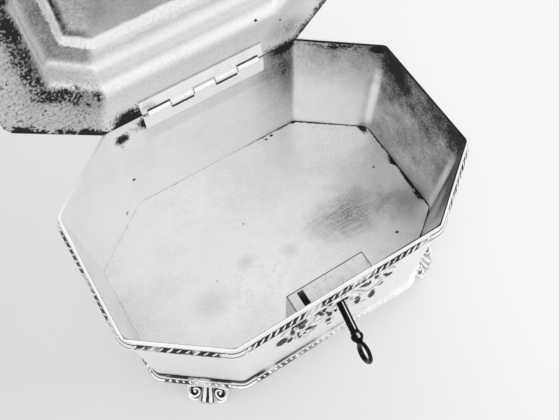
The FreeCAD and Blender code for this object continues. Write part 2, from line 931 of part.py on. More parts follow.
def bow_arc(centre_x, centre_z, radius, turn):
    """Arc of the bow's forged wire about a centre in the plane of X and Z, halved by +X."""
    corner = bow_wire_radius / math.cos(math.pi / bow_flat_count)
    points = []
    for flat in range(bow_flat_count + 1):
        lean = math.pi * (2 * flat + 1) / bow_flat_count
        points.append(Vector(radius + corner * math.cos(lean), corner * math.sin(lean), 0))
    arc = Part.Face(Part.makePolygon(points)).revolve(Vector(0, 0, 0), Vector(0, 1, 0), turn)
    arc.rotate(Vector(0, 0, 0), Vector(0, 1, 0), -turn / 2)
    arc.translate(Vector(centre_x, 0, centre_z))
    return arc


def key_bow():
    """Upright oval ring of four arcs, forged with flats, turned a little out of the bit's plane."""
    centre = shank_front + bead_length + baluster_length + bow_half_along
    end_radius = bow_half_along * bow_end_share
    end_centre = bow_half_across - end_radius
    rise = bow_half_along - end_radius
    side_radius = (end_centre ** 2 + bow_half_along ** 2 - end_radius ** 2) / (2 * rise)
    side_centre = side_radius - bow_half_along
    end_turn = 2 * math.degrees(math.atan2(side_centre, end_centre))
    side_turn = circle_turn / 2 - end_turn
    arcs = []
    for sign in (-1, 1):
        arcs.append(bow_arc(sign * end_centre, 0, sign * end_radius, end_turn))
        side = bow_arc(0, 0, side_radius, side_turn)
        side.rotate(Vector(0, 0, 0), Vector(0, 1, 0), -sign * circle_turn / 4)
        side.translate(Vector(0, 0, -sign * side_centre))
        arcs.append(side)
    bow = joined(arcs)
    bow.rotate(Vector(0, 0, 0), Vector(0, 0, 1), circle_turn / 4 - bow_twist)
    bow.translate(Vector(0, 0, centre))
    return bow


def key():
    half = bit_thickness / 2
    bit_length = bit_back - bit_front
    bit = Part.makeBox(bit_thickness, bit_radius, bit_length, Vector(-half, -bit_radius, -bit_back))
    rim = Part.makeCylinder(bit_radius, bit_length, Vector(0, 0, -bit_back))
    shape = joined([key_turned_part(), bit.common(rim), key_bow()])
    inner = -bit_back - shank_tail
    pipe = Part.makeCylinder(drill_pin_radius + drill_pin_fit, pipe_depth, Vector(0, 0, inner))
    half_slit = ward_sheet / 2 + key_clearance
    depth = ward_bite + key_clearance
    slit = Part.makeCylinder(ward_radius + half_slit, depth + overrun, Vector(0, 0, -bit_back - overrun))
    core = Part.makeCylinder(ward_radius - half_slit, depth + overrun, Vector(0, 0, -bit_back - overrun))
    shape = without(shape, pipe, slit.cut(core))
    shape.Placement = key_place
    return shape


# Keyhole cartouche on the front wall


def relief(face, depth):
    """Flat ornament shape raised from the front wall by a depth."""
    surface = front_y - wall - taper(rim_height - keyhole_drop)
    solid = face.extrude(Vector(0, -depth - overrun, 0))
    solid.translate(Vector(0, surface + overrun, 0))
    return solid


def scroll_face(centre_x, centre_z, radius, start, sweep):
    """C-shaped scroll bar in short straight strokes."""
    outer = []
    inner = []
    for step in range(scroll_step_count + 1):
        turn = math.radians(start + sweep * step / scroll_step_count)
        away = Vector(math.cos(turn), 0, math.sin(turn))
        middle = Vector(centre_x, 0, centre_z)
        outer.append(middle + away * (radius + scroll_bar / 2))
        inner.append(middle + away * (radius - scroll_bar / 2))
    return Part.Face(Part.makePolygon(outer + inner[::-1] + outer[:1]))


def disc_face(centre_x, centre_z, radius):
    circle = Part.Circle(Vector(centre_x, 0, centre_z), Vector(0, -1, 0), radius)
    return Part.Face(Part.Wire([circle.toShape()]))


# Scrolls of the cartouche: distance from the middle and height over the keyhole as shares of its
# half length, radius as a share too, then start and sweep in degrees
cartouche_half_length = 28.0
scroll_shares = [
    (0.38, 0.12, 0.205, 200.0, -290.0),
    (0.74, 0.08, 0.130, 170.0, 250.0),
    (0.34, -0.36, 0.190, 120.0, 280.0),
    (0.17, -0.74, 0.120, 150.0, 250.0),
]


def escutcheon():
    """Keyhole plate: a boss with scrolls round it, a crest above and a stem with a drop below."""
    hole = axis_point(front_y - wall - cartouche_relief)
    surface = front_y - wall - taper(rim_height - keyhole_drop)
    pieces = []
    oval = Part.Ellipse(Vector(0, 0, 0), cartouche_boss_half_height, cartouche_boss_half_width).toShape()
    boss = Part.Face(Part.Wire([oval]))
    boss.rotate(Vector(0, 0, 0), Vector(0, 0, 1), circle_turn / 4)
    boss.rotate(Vector(0, 0, 0), Vector(1, 0, 0), circle_turn / 4)
    boss.translate(Vector(hole.x, 0, hole.z - cartouche_boss_drop))
    pieces.append(relief(boss, cartouche_boss_relief))
    for side in (-1, 1):
        for along, height, size, start, sweep in scroll_shares:
            centre_x = hole.x + side * along * cartouche_half_length
            centre_z = hole.z + height * cartouche_half_length
            first = start if side > 0 else circle_turn / 2 - start
            scroll = scroll_face(centre_x, centre_z, size * cartouche_half_length, first, side * sweep)
            pieces.append(relief(scroll, cartouche_relief))
    for lobe in range(crest_lobe_count):
        lean = (lobe - (crest_lobe_count - 1) / 2) * circle_turn / 11
        turn = math.radians(circle_turn / 4 + lean)
        lobe_x = hole.x + crest_reach * math.cos(turn)
        lobe_z = hole.z + crest_reach * math.sin(turn)
        pieces.append(relief(disc_face(lobe_x, lobe_z, crest_lobe_radius), cartouche_relief))
        half = crest_lobe_radius * 2 / 3
        ray = block(-half, half, 0, crest_reach, 0, overrun + cartouche_relief)
        ray.rotate(Vector(0, 0, 0), Vector(1, 0, 0), circle_turn / 4)
        ray.rotate(Vector(0, 0, 0), Vector(0, 1, 0), circle_turn / 4 - math.degrees(turn))
        ray.translate(Vector(hole.x, surface + overrun, hole.z))
        pieces.append(ray)
    drop = disc_face(hole.x, hole.z - pendant_reach, pendant_radius)
    pieces.append(relief(drop, cartouche_relief))
    stem = block(
        hole.x - stem_half_width,
        hole.x + stem_half_width,
        surface - cartouche_relief,
        surface + overrun,
        hole.z - pendant_reach,
        hole.z,
    )
    pieces.append(stem)
    plate = pieces[0].fuse(pieces[1:]).removeSplitter()
    slope = math.degrees(math.atan2(floor_inset, rim_height - floor_height))
    plate.rotate(Vector(0, surface, rim_height - keyhole_drop), Vector(1, 0, 0), slope)
    return without(plate, tub_outside(), keyhole_cutter())


def opened(shape):
    """Lid piece turned back to the stop."""
    turned = shape.copy()
    turned.rotate(Vector(0, hinge_y, hinge_z), Vector(1, 0, 0), -lid_open_angle)
    return turned


nodes = {
    "body_wall": body_wall(),
    "floor_plate": floor_plate(),
    "rim_wire": rim_wire(),
    "rim_border": rim_border(),
    "base_ring": base_ring(),
    "base_border": base_border(),
    "foot_front_right": placed_foot(1),
    "foot_back_right": placed_foot(3),
    "foot_back_left": placed_foot(5),
    "foot_front_left": placed_foot(7),
    "escutcheon": escutcheon(),
    "lock_plate": lock_plate(),
    "lock_cap": lock_cap(),
    "lock_posts": lock_posts(),
    "lock_rivets": lock_rivets(),
    "bolt_guide_stud": bolt_guide_stud(),
    "bolt_spring": bolt_spring(),
    "ward": ward(),
    "bolt": bolt(),
    "drill_pin": drill_pin(),
    "key": key(),
    "body_hinge_leaf": body_hinge_leaf(),
    "hinge_pin": hinge_pin(),
    "lid_shell": opened(lid_shell()),
    "lid_rim_wire": opened(lid_rim_wire()),
    "lid_border": opened(lid_border()),
    "lid_hinge_leaf": opened(lid_hinge_leaf()),
    "lid_staple": opened(lid_staple()),
}

os.makedirs("parts", exist_ok=True)
for name, shape in nodes.items():
    shape.translate(Vector(0, 0, foot_height))
    shape.exportStep("parts/" + name + ".step")
    print(name, "solids", len(shape.Solids), "valid", shape.isValid(), "volume", round(shape.Volume, 1))
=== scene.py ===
# %% [markdown]
# # An eight-sided silver candy box
# The box is already built as a set of solids: tub, floor, lid, hinge, lock and key.
# Here they are loaded as a fixed frame. Every silver surface gets its polish and tarnish, some
# also painted shade and highlight, and the ornament that is too fine for solids is made as
# meshes that ride on them.
# %% Load the imported box
import math

import bmesh
import bpy
import numpy as np
from mathutils import Matrix, Vector


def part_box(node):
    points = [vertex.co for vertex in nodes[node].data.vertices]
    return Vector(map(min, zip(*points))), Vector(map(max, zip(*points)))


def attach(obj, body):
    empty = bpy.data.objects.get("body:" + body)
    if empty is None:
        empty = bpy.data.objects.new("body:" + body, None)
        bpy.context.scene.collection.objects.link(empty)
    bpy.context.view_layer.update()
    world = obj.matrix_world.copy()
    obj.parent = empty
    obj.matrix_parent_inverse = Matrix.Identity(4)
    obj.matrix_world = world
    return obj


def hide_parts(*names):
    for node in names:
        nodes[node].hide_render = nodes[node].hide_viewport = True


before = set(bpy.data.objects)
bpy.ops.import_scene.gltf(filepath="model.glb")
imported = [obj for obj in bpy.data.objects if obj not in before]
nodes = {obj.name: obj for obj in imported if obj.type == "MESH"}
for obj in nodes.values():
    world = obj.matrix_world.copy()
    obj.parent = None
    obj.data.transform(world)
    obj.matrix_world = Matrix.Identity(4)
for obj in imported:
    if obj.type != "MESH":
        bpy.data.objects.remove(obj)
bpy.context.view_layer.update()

# %% [markdown]
# Lengths are easier to read in millimetres, so every drawing below is in millimetres and one
# helper turns it into metres. The plan is an octagon: a rectangle with its corners cut.
# The tub tapers, so each side stands a little further in as one goes down from the rim.
# %% The plan of the box, in millimetres
MM = 0.001
RIM = 84.0
HALF_LONG, HALF_WIDE = 80.0, 54.0
CUT_X, CUT_Y = 33.0, 25.0
CUT_SIDE = math.hypot(CUT_X, CUT_Y)
CUT_REACH = (CUT_Y * (HALF_LONG - CUT_X) + CUT_X * HALF_WIDE) / CUT_SIDE
SLOPE = 1.8 / 65.5
FLOOR = 18.5
HINGE_Y = 54.0
LID_TURN = math.radians(100)


def plan_corners(out):
    """Corners of the octagon moved outward, counter-clockwise from the front right."""
    long, wide = HALF_LONG + out, HALF_WIDE + out
    reach = (CUT_REACH + out) * CUT_SIDE
    x, y = (reach - CUT_X * wide) / CUT_Y, (reach - CUT_Y * long) / CUT_X
    half = [(x, -wide), (long, -y), (long, y), (x, wide)]
    return half + [(-a, -b) for a, b in half]


print("rim corners", [(round(x, 1), round(y, 1)) for x, y in plan_corners(0)])

# %% [markdown]
# A finish in Blender is a sheet of nodes joined by wires. Written out node by node it is long
# and hard to read, so one class adds any node, and another lets a wire be used in a Python
# sum. `1 - mask * 0.5` then adds the Math nodes by itself.
# %% Wires that can be added and multiplied


class Wire:
    """A node's output that can be used in sums."""

    def __init__(self, sheet, socket):
        self.sheet, self.socket = sheet, socket

    def __add__(self, other):
        return self.sheet.math("ADD", self, other)

    __radd__ = __add__

    def __sub__(self, other):
        return self.sheet.math("SUBTRACT", self, other)

    def __rsub__(self, other):
        return self.sheet.math("SUBTRACT", other, self)

    def __mul__(self, other):
        return self.sheet.math("MULTIPLY", self, other)

    __rmul__ = __mul__

    def __truediv__(self, other):
        return self.sheet.math("DIVIDE", self, other)

    def __abs__(self):
        return self.sheet.math("ABSOLUTE", self, 0.0)

    def max(self, other):
        return self.sheet.math("MAXIMUM", self, other)

    def min(self, other):
        return self.sheet.math("MINIMUM", self, other)


class Sheet:
    """A node tree with one method that adds any node."""

    def __init__(self, tree):
        self.tree = tree

    def node(self, kind, settings=None, inputs=None, output=0):
        """Adds a node: settings first, then its sockets' values or wires."""
        node = self.tree.nodes.new(kind)
        for key, value in (settings or {}).items():
            if key == "stops":
                elements = node.color_ramp.elements
                while len(elements) < len(value):
                    elements.new(1.0)
                for element, (place, grey) in zip(elements, value):
                    element.position = place
                    element.color = (grey, grey, grey, 1.0)
            else:
                setattr(node, key, value)
        for key, value in (inputs or {}).items():
            if isinstance(value, Wire):
                self.tree.links.new(value.socket, node.inputs[key])
            else:
                node.inputs[key].default_value = value
        return Wire(self, node.outputs[output]) if node.outputs else node

    def math(self, operation, first, second):
        return self.node("ShaderNodeMath", {"operation": operation}, {0: first, 1: second})

    def vector(self, operation, first, second, output=0):
        return self.node("ShaderNodeVectorMath", {"operation": operation}, {0: first, 1: second}, output)


print("node helpers ready")

# %% [markdown]
# Old silver is never one colour. It is dark where tarnish stays, in corners and cloudy patches,
# and darker just under rims; some of its light and shade is painted into the colour as well:
# highlights on creases and shade on the tub's right end. These helpers take a point of the
# piece in millimetres, or one of its coordinates, and return masks: a soft step, cloudy
# noise, noise in streaks, and ovals whose edges are broken up by noise. A wire knows its
# own sheet, so no helper has to be told where to add its nodes.
# %% Masks for tarnish and painted shade


def point_in_mm(sheet):
    place = sheet.node("ShaderNodeTexCoord", None, None, "Object")
    return sheet.node("ShaderNodeVectorMath", {"operation": "SCALE"}, {0: place, "Scale": 1000.0})


def parts_of(point):
    return [point.sheet.node("ShaderNodeSeparateXYZ", None, {0: point}, axis) for axis in (0, 1, 2)]


def step(value, low, high):
    """0 below low, 1 above high, smooth between. With low above high it falls instead."""
    inputs = {"Value": value, "From Min": min(low, high), "From Max": max(low, high)}
    rise = value.sheet.node("ShaderNodeMapRange", {"interpolation_type": "SMOOTHSTEP"}, inputs)
    return rise if low < high else 1 - rise


def cloud(point, size, detail=3.0, rough=0.55):
    """Noise whose blotches are about `size` millimetres across."""
    inputs = {"Vector": point, "Scale": 1.0 / size, "Detail": detail, "Roughness": rough}
    return point.sheet.node("ShaderNodeTexNoise", None, inputs)


def grainy(fine, middling):
    """Two noises together, round 0.5 and with more contrast."""
    return 0.9 * (fine + middling) - 0.4


def stretched(point, turn, stretch):
    """The point, turned about Z and squeezed along X, so that noise on it comes out in streaks."""
    inputs = {"Vector": point, "Rotation": (0.0, 0.0, turn), "Scale": (1.0 / stretch, 1.0, 1.0)}
    return point.sheet.node("ShaderNodeMapping", None, inputs)


def patch(point, centre, radii, ragged, soft=0.5):
    """1 inside a ragged oval patch; ragged is a noise wire round 0.5."""
    away = point.sheet.vector("SUBTRACT", point, centre)
    away = point.sheet.vector("MULTIPLY", away, tuple(1.0 / r for r in radii))
    far = point.sheet.node("ShaderNodeVectorMath", {"operation": "LENGTH"}, {0: away}, "Value")
    return step(far + (ragged - 0.5) * 1.6, 1.0, 1.0 - soft)


def patches(point, spots):
    """Sum of patches, each a centre, radii, ragged noise, softness and strength."""
    total = 0.0
    for *oval, strength in spots:
        total = total + patch(point, *oval) * strength
    return total


def octagon(x, y, inset):
    """Signed distances out from the long, wide and cut sides, and the largest of them."""
    long = abs(x) - HALF_LONG + inset
    wide = abs(y) - HALF_WIDE + inset
    cut = (abs(x) * CUT_Y + abs(y) * CUT_X) / CUT_SIDE - CUT_REACH + inset
    return long, wide, cut, long.max(wide).max(cut)


print("mask helpers ready")

# %% [markdown]
# Every silver here is the same recipe. Its colour is mixed between clean silver and near black
# by one mask, which holds tarnish and, in some finishes, painted shade and highlight, and a Bump
# node turns a height wire into dents and scratches. A pure metal shows only what it mirrors, so
# `metallic` is often less than 1: the rest is a pale matt film, as on old silver in soft light.
# The low specular level keeps the dark parts black. Only colour, roughness and bump vary, so the
# look survives when it is baked.
# %% The recipe for silver
CLEAN = (0.965, 0.965, 0.96, 1.0)
NEAR_BLACK = (0.012, 0.012, 0.012, 1.0)
BLACKEST = 0.985


def metal(name, bright, tarnish_and_shade, roughness, height, relief, metallic=1.0, dark=NEAR_BLACK, specular=0.08):
    """Closes a finish. tarnish, roughness and height are wires, relief is in millimetres."""
    sheet = tarnish_and_shade.sheet
    colour = sheet.node("ShaderNodeMix", {"data_type": "RGBA", "clamp_factor": True},
                        {0: tarnish_and_shade, 6: bright, 7: dark}, 2)
    bump = sheet.node("ShaderNodeBump", None, {"Height": height, "Strength": 1.0, "Distance": relief * MM})
    inputs = {"Base Color": colour, "Roughness": roughness, "Metallic": metallic, "Normal": bump,
              "Specular IOR Level": specular}
    shader = sheet.node("ShaderNodeBsdfPrincipled", None, inputs)
    sheet.node("ShaderNodeOutputMaterial", None, {"Surface": shader})
    print("finish", name, "nodes", len(sheet.tree.nodes))


def blank_finish(name):
    material = bpy.data.materials.new(name)
    material.use_nodes = True
    material.node_tree.nodes.clear()
    return material, point_in_mm(Sheet(material.node_tree))


def wear(material, *names):
    """Puts a finish on CAD nodes."""
    for name in names:
        mesh = nodes[name].data
        mesh.materials.clear()
        mesh.materials.append(material)


# %% [markdown]
# The tub is raised sheet silver. Inside, its right end is dull and speckled near the rim and
# clears towards the floor, partly tarnish and partly painted shade, and the rest is bright with
# faint clouds. The octagon distances tell the inner face from the outer one and find the corner
# creases, of which two at the right get a painted highlight. The colour is darker just under the
# rim, dirt lies along the solder line above the floor and round the hinge, and painted shade
# lies on the wall below the hinge leaf. First come the dull areas and the painted highlights.
# %% Finish of the tub's wall: dull areas, painted shade and highlights
tub_silver, p = blank_finish("tub_silver")
x, y, z = parts_of(p)
drop = RIM - z
long, wide, cut, out = octagon(x, y, drop * SLOPE)
inside = step(out, 0.62, 0.38)
big, mid, fine = cloud(p, 24.0), cloud(p, 7.0, 5.0, 0.65), cloud(p, 0.9, 5.0, 0.75)
grain = grainy(fine, mid)
rough = 2.0 * grain - 0.5
speckle = step(grain, 0.44, 0.56)
upper = step(z, 30.0, 82.0)
right_half = step(x, 30.0, 64.0)
right_wall = step(x, 66.0, 77.0) * step(y, 33.0, 27.0)
corner_front = step(x, 52.0, 60.0) * step(y, -27.0, -31.0)
back_right = step(x, 20.0, 42.0) * step(y, 30.0, 40.0) * step(wide - cut, -0.3, 0.2)
# dull mixes the right end's tarnish with painted shade, strongest near the rim.
dull = right_half * (0.02 + 0.6 * upper * upper) * (1 - 0.65 * right_wall)
dull = dull + right_wall * (0.42 + 0.2 * upper)
dull = dull.max(back_right * (0.2 + 0.5 * upper)) + corner_front * 0.35
dull = (dull * (0.35 + 1.3 * big + 1.3 * (grain - 0.5))).min(0.9) + dull * (fine - 0.5) * 0.6
smear = patches(p, [((78.0, 8.0, 74.5), (12.0, 20.0, 10.0), rough, 1.0, 1.0),
                    ((78.0, 23.0, 79.0), (12.0, 11.0, 10.0), rough, 1.0, 1.0),
                    ((78.0, -20.0, 79.0), (12.0, 14.0, 6.0), rough, 1.0, 0.6)])
# back_crease and end_crease mark the rounded creases at the right, lightened as painted highlights.
back_crease = step(abs(wide - cut) + 1.6 * (grain - 0.5), 0.9, 0.2) * 0.8
end_crease = step(abs(long - cut), 3.2, 0.8) * step(z + 8.0 * (mid - 0.5), 74.0, 52.0)
crease_highlight_factor = 1 - (back_crease + end_crease).min(1.0) * right_half
print("tub: dull areas")

# %% [markdown]
# Then the spots. Each row of the list is one stain: where it lies, how far it reaches, the
# noise that frays its edge, how soft it is and how dark. On the outside only the line over
# the foot ring and a smudge at the left are dirty.
# %% Finish of the tub's wall: stains
stains = patches(p, [((-29.0, 53.9, 78.0), (3.6, 4.0, 5.6), rough, 0.5, 1.0),
                     ((-32.0, 53.9, 79.0), (9.0, 4.0, 6.0), grain, 0.9, speckle),
                     ((-43.0, 53.5, 71.0), (1.5, 4.0, 8.0), grain, 0.9, speckle * 0.7),
                     ((-42.0, 53.8, 75.5), (3.6, 4.0, 3.8), rough, 0.7, 1.0),
                     ((-44.2, 52.8, 41.0), (1.0, 3.0, 1.3), grain, 0.5, 1.0),
                     ((41.0, 53.9, 82.0), (10.0, 4.0, 4.0), grain, 0.8, 0.3 + 0.6 * speckle),
                     ((42.5, 53.9, 60.0), (7.0, 4.0, 30.0), mid, 0.95, 0.2),
                     ((77.0, 31.0, 81.0), (4.0, 4.0, 3.0), grain, 0.7, 1.0),
                     ((62.0, 42.0, 81.5), (22.0, 18.0, 4.0), grain, 0.95, speckle * 0.7),
                     ((-54.4, 47.0, 26.0), (0.8, 9.0, 1.4), grain, 0.5, 0.6)])
hinge_shade = step(abs(x), 34.0, 30.0) * step(abs(z - 70.0), 6.0, 3.5) * step(y, 50.0, 52.0) * 0.1
under_rim = step(drop + 2.4 * (grain - 0.5), 0.75, 0.3) * step(x, 10.0, 34.0)
solder = step(z + 1.6 * (grain - 0.5), FLOOR + 0.55, FLOOR + 0.2) * (0.2 + 0.7 * right_half)
soft_cloud = 0.01 + 0.05 * step(big, 0.45, 0.75) + 0.3 * (fine - 0.5) + 0.08 * (mid - 0.5)
inside_tarnish_and_shade = ((dull + smear * 0.1) * crease_highlight_factor).max(0.0) + under_rim * 0.85 + solder * 0.9 + stains + hinge_shade
groove_left = step(x, -28.0, -44.0)
groove = step(z + 1.4 * (mid - 0.5) - 3.2 * groove_left, 15.0, 14.5) * step(y, -22.0, -30.0)
smudge = step(z + 7.0 * (mid - 0.5), 23.0, 19.0) * step(grain, 0.5, 0.58) * step(y, -24.0, -34.0)
tarnish_out = (0.03 + 0.06 * big + 0.3 * (fine - 0.5)).max(0.0)
tarnish_out = tarnish_out + groove * (0.3 + 0.68 * groove_left) + smudge * groove_left * 0.7
lip = step(out, 0.34, 0.16) * step(drop, 0.4, 0.1) * step(y, 20.0, 0.0) * 0.6
tarnish_and_shade = (inside_tarnish_and_shade + soft_cloud).max(0.0) * inside + tarnish_out * (1 - inside) + lip
brushed = cloud(stretched(p, 0.3, 14.0), 0.8, 3.0)
metal("tub_silver", CLEAN, tarnish_and_shade.min(BLACKEST), 0.34 + 0.25 * tarnish_and_shade.min(1.0) + 0.06 * mid,
      brushed + 0.6 * mid, 0.012, 0.55)
wear(tub_silver, "body_wall")

# %% [markdown]
# The floor is a flat plate soldered in. Its right side is greyer, with a scratched patch in
# front of the lock, ring-shaped marks left by damp, and a black line of flux along the seam
# that swells into blobs. The rings come from a Voronoi texture, which gives the distance
# to scattered points: a narrow band of that distance is a ring. The scratches are two
# noises stretched in crossing directions.
# %% Finish of the floor plate
floor_silver, p = blank_finish("floor_silver")
x, y, z = parts_of(p)
long, wide, cut, out = octagon(x, y, 1.8)
big, mid, fine = cloud(p, 30.0), cloud(p, 8.0, 5.0, 0.6), cloud(p, 1.1, 5.0, 0.75)
grain = grainy(fine, mid)
rough = 1.8 * grain - 0.4
right_half = step(x, 8.0, 70.0)


def on_floor(point, height, spots):
    """Patches on the floor, all of one height, each with its place and reach along X and Y."""
    return patches(point, [((a, b, FLOOR), (far_x, far_y, height), *rest)
                           for a, b, far_x, far_y, *rest in spots])


def scattered(point, scale):
    """Distance to the nearest of many scattered points."""
    inputs = {"Vector": point, "Scale": scale, "Randomness": 1.0}
    return point.sheet.node("ShaderNodeTexVoronoi", {"feature": "F1"}, inputs, "Distance")


scratch_a = cloud(stretched(p, 0.55, 18.0), 0.55, 3.0, 0.6)
scratch_b = cloud(stretched(p, 2.1, 16.0), 0.5, 3.0, 0.6)
dark_scratches = step(scratch_a.max(scratch_b) + 0.4 * (grain - 0.5), 0.52, 0.62)
worn = [(40.0, -9.0, 30.0, 19.0, grain, 0.95, 0.4 + 0.3 * dark_scratches + 0.7 * (fine - 0.5)),
        (70.0, -19.0, 19.0, 17.0, grain, 0.95, 0.4 + 0.5 * (grain - 0.5))]
hazy = 0.16 * (0.4 + 1.2 * grain)
haze = [(-41.0, -14.0, 15.0, 11.0, grain, 0.95, hazy), (-17.0, -4.0, 7.0, 5.0, grain, 0.95, hazy),
        (5.0, -10.0, 7.0, 6.0, grain, 0.95, hazy)]
blobs = [(75.6, 28.6, 2.4, 3.4, rough, 0.5, 1.0), (78.0, 3.6, 2.4, 4.0, rough, 0.5, 1.0),
         (78.0, -19.0, 2.6, 4.2, rough, 0.5, 1.0), (46.8, 51.4, 2.6, 1.2, rough, 0.5, 1.0),
         (55.6, -30.4, 1.1, 1.1, grain, 0.5, 1.0), (67.0, 6.0, 0.7, 0.7, grain, 0.5, 1.0),
         (28.0, 50.0, 1.3, 0.7, grain, 0.5, 1.0), (31.5, 50.6, 1.0, 0.7, grain, 0.5, 1.0),
         (77.4, -9.0, 1.2, 9.0, grain, 0.5, 0.8)]
ring_place = scattered(p, 0.26) + 1.1 * (grain - 0.5)
rings = step(ring_place, 0.36, 0.3) * step(ring_place, 0.16, 0.24)
damp = patch(p, (-18.0, -16.0, FLOOR), (32.0, 20.0, 9.0), grain, 0.8)
pits = step(scattered(p, 0.07), 0.05, 0.035)
seam_right = step(x + 0.3 * y, 20.0, 56.0)
seam = step(out + 0.12 + 0.3 * seam_right + 1.6 * (grain - 0.5), -0.3, 0.1) * (0.22 + 0.75 * seam_right)
tarnish_and_shade = 0.02 + 0.07 * step(big, 0.42, 0.7) + 0.45 * (fine - 0.5) + 0.1 * (mid - 0.5)
tarnish_and_shade = tarnish_and_shade + 0.1 * right_half * (0.4 + 1.2 * grain) + rings * damp * 0.12 + pits * 0.5 + seam
tarnish_and_shade = tarnish_and_shade + on_floor(p, 9.0, worn + haze) + on_floor(p, 2.0, blobs)
metal("floor_silver", CLEAN, tarnish_and_shade.max(0.0).min(BLACKEST), 0.34 + 0.2 * mid,
      mid + 0.5 * scratch_a, 0.015, 0.65)
wear(floor_silver, "floor_plate")

# %% [markdown]
# The lid's sheet is hammered into a flange, a hollow cove, a round shoulder, a ledge and a
# flat panel. It stands open, so its pattern is worked out on the closed lid: a Mapping node
# turns each point back about the hinge. The distance in from the rim then names the band, and
# a colour ramp along it gives each band its tarnish together with painted shade and highlight:
# grey in the cove and on the panel, white on the shoulder and the step. The left end has its
# own ramp.
# %% Finish of the lid's sheet: its bands
DEEPEST_BAND = 45.0


def closed_point(point):
    """The point where it would be with the lid shut."""
    hinge = Vector((0.0, HINGE_Y, RIM))
    shift = hinge - Matrix.Rotation(LID_TURN, 3, "X") @ hinge
    inputs = {"Vector": point, "Location": tuple(shift), "Rotation": (LID_TURN, 0.0, 0.0)}
    return point.sheet.node("ShaderNodeMapping", {"vector_type": "POINT"}, inputs)


def band_shade_ramp(distance, bands):
    """Dullness with painted shade and highlight along the distance in from the rim, from pairs of millimetres
    and share.
    """
    stops = [(place / DEEPEST_BAND, grey) for place, grey in bands]
    colour = distance.sheet.node("ShaderNodeValToRGB", {"stops": stops}, {"Fac": distance / -DEEPEST_BAND})
    return distance.sheet.node("ShaderNodeSeparateColor", None, {0: colour}, 0)


lid_silver, p = blank_finish("lid_silver")
p = closed_point(p)
x, y, z = parts_of(p)
long, wide, cut, out = octagon(x, y, 0.0)
big, mid, fine = cloud(p, 24.0), cloud(p, 7.0, 5.0, 0.65), cloud(p, 1.2, 4.0, 0.7)
grain = grainy(fine, mid)
rough = 2.0 * grain - 0.5
speckle = step(grain, 0.44, 0.56)
scuffs = cloud(stretched(p, 0.1, 16.0), 1.2, 3.0, 0.7)
wavy = out + 2.4 * (grain - 0.5)
# along and left give each band its tarnish with painted shade (cove, panel) and painted highlight (shoulder,
# step); plain mixes them.
along = band_shade_ramp(wavy, [(0, 0.05), (6, 0.06), (14, 0.12), (16, 0.16), (19, 0.08), (24, 0.06), (26.5, 0.18),
                         (29, 0.26), (31.5, 0.06), (35.2, 0.04), (36.2, 0.46), (45, 0.52)])
left = band_shade_ramp(wavy, [(0, 0.34), (8, 0.36), (13, 0.46), (15.2, 0.85), (18.8, 0.85), (21.5, 0.4), (24, 0.2),
                        (27, 0.62), (31.6, 0.68), (32.6, 0.1), (35.0, 0.1), (36.0, 0.85)])
left_end = step(long.max(cut) - wide, -0.5, 2.5) * step(x, -20.0, -40.0)
panel = step(out, -35.6, -36.6)
plain = along * (1 - left_end) + left * left_end * (1 - panel) + panel * left_end * 0.4
plain = plain + panel * 0.45 * step(out + 1.5 * mid, -38.8, -35.8) * left_end
left_band = step(abs(out + 16.5 + 3.0 * (mid - 0.5)), 4.6, 1.0) * left_end * step(y, -36.0, -20.0)
plain = plain * (1 - 0.35 * left_band) + left_band * speckle * 0.55
plain = plain + (fine - 0.5) * (0.4 + 0.5 * left_end) + (scuffs - 0.5) * 0.25 * left_end
print("lid: bands")

# %% [markdown]
# The flange has gone black along its edge near the hinge, in a ragged crust, and there are
# specks and streaks on it. The outside of the lid is polished far more often than the inside,
# so the tarnish is thinned where the surface looks outward: the surface's own direction,
# set against the lid's upward one, tells the two sides of the sheet apart.
# %% Finish of the lid's sheet: its stains
speck = step(fine + 0.3 * mid, 0.72, 0.86) * step(x, -34.0, -60.0) * step(out, -16.0, -12.0)
edge = step(out + 9.0 * (grain - 0.5) + 5.0 * (mid - 0.5), -2.0, 0.2)
edge = edge * step(x + 24.0 * (big - 0.5), -20.0, -34.0) * step(y, 18.0, 30.0)
edge = edge * (0.25 + 0.75 * step(mid, 0.42, 0.54))
right_edge = step(out + 8.0 * (grain - 0.5), -3.0, 0.2) * step(x, 28.0, 36.0) * step(y, 25.0, 40.0)
stains = patches(p, [((44.0, 46.0, RIM), (14.0, 9.0, 5.0), grain, 0.95, 0.2 + 0.3 * speckle),
                     ((-34.5, 51.5, RIM), (7.0, 4.4, 3.0), rough, 0.5, 1.0),
                     ((-38.0, 50.0, RIM), (11.0, 6.0, 3.0), grain, 0.9, speckle),
                     ((-52.0, 24.5, RIM), (9.0, 4.0, 5.0), grain, 0.9, speckle * 0.8),
                     ((29.8, 34.0, RIM), (0.9, 0.8, 3.0), grain, 0.5, 1.0),
                     ((41.2, 39.6, RIM), (0.8, 0.8, 3.0), grain, 0.5, 0.7),
                     ((-61.0, -6.0, RIM), (5.5, 26.0, 7.0), grain, 0.95, 0.25 + 0.6 * speckle)])
streaks = step(scuffs, 0.56, 0.72) * step(out, -15.0, -13.0) * 0.12
under = step(z, 86.2, 85.6)
tarnish_and_shade = plain.max(0.0) * (0.62 + 0.75 * big) + speck * 0.7
tarnish_and_shade = tarnish_and_shade + (edge + right_edge * 0.8 + stains + streaks) * under
facing = p.sheet.node("ShaderNodeTexCoord", None, None, "Normal")
facing = p.sheet.vector("DOT_PRODUCT", facing, (0.0, math.sin(LID_TURN), math.cos(LID_TURN)), "Value")
tarnish_and_shade = tarnish_and_shade * (1 - 0.8 * step(facing, -0.15, 0.15)) + 0.05
metal("lid_silver", CLEAN, tarnish_and_shade.min(BLACKEST), 0.32 + 0.2 * mid, mid + 0.4 * scuffs, 0.02, 0.4)
wear(lid_silver, "lid_shell")

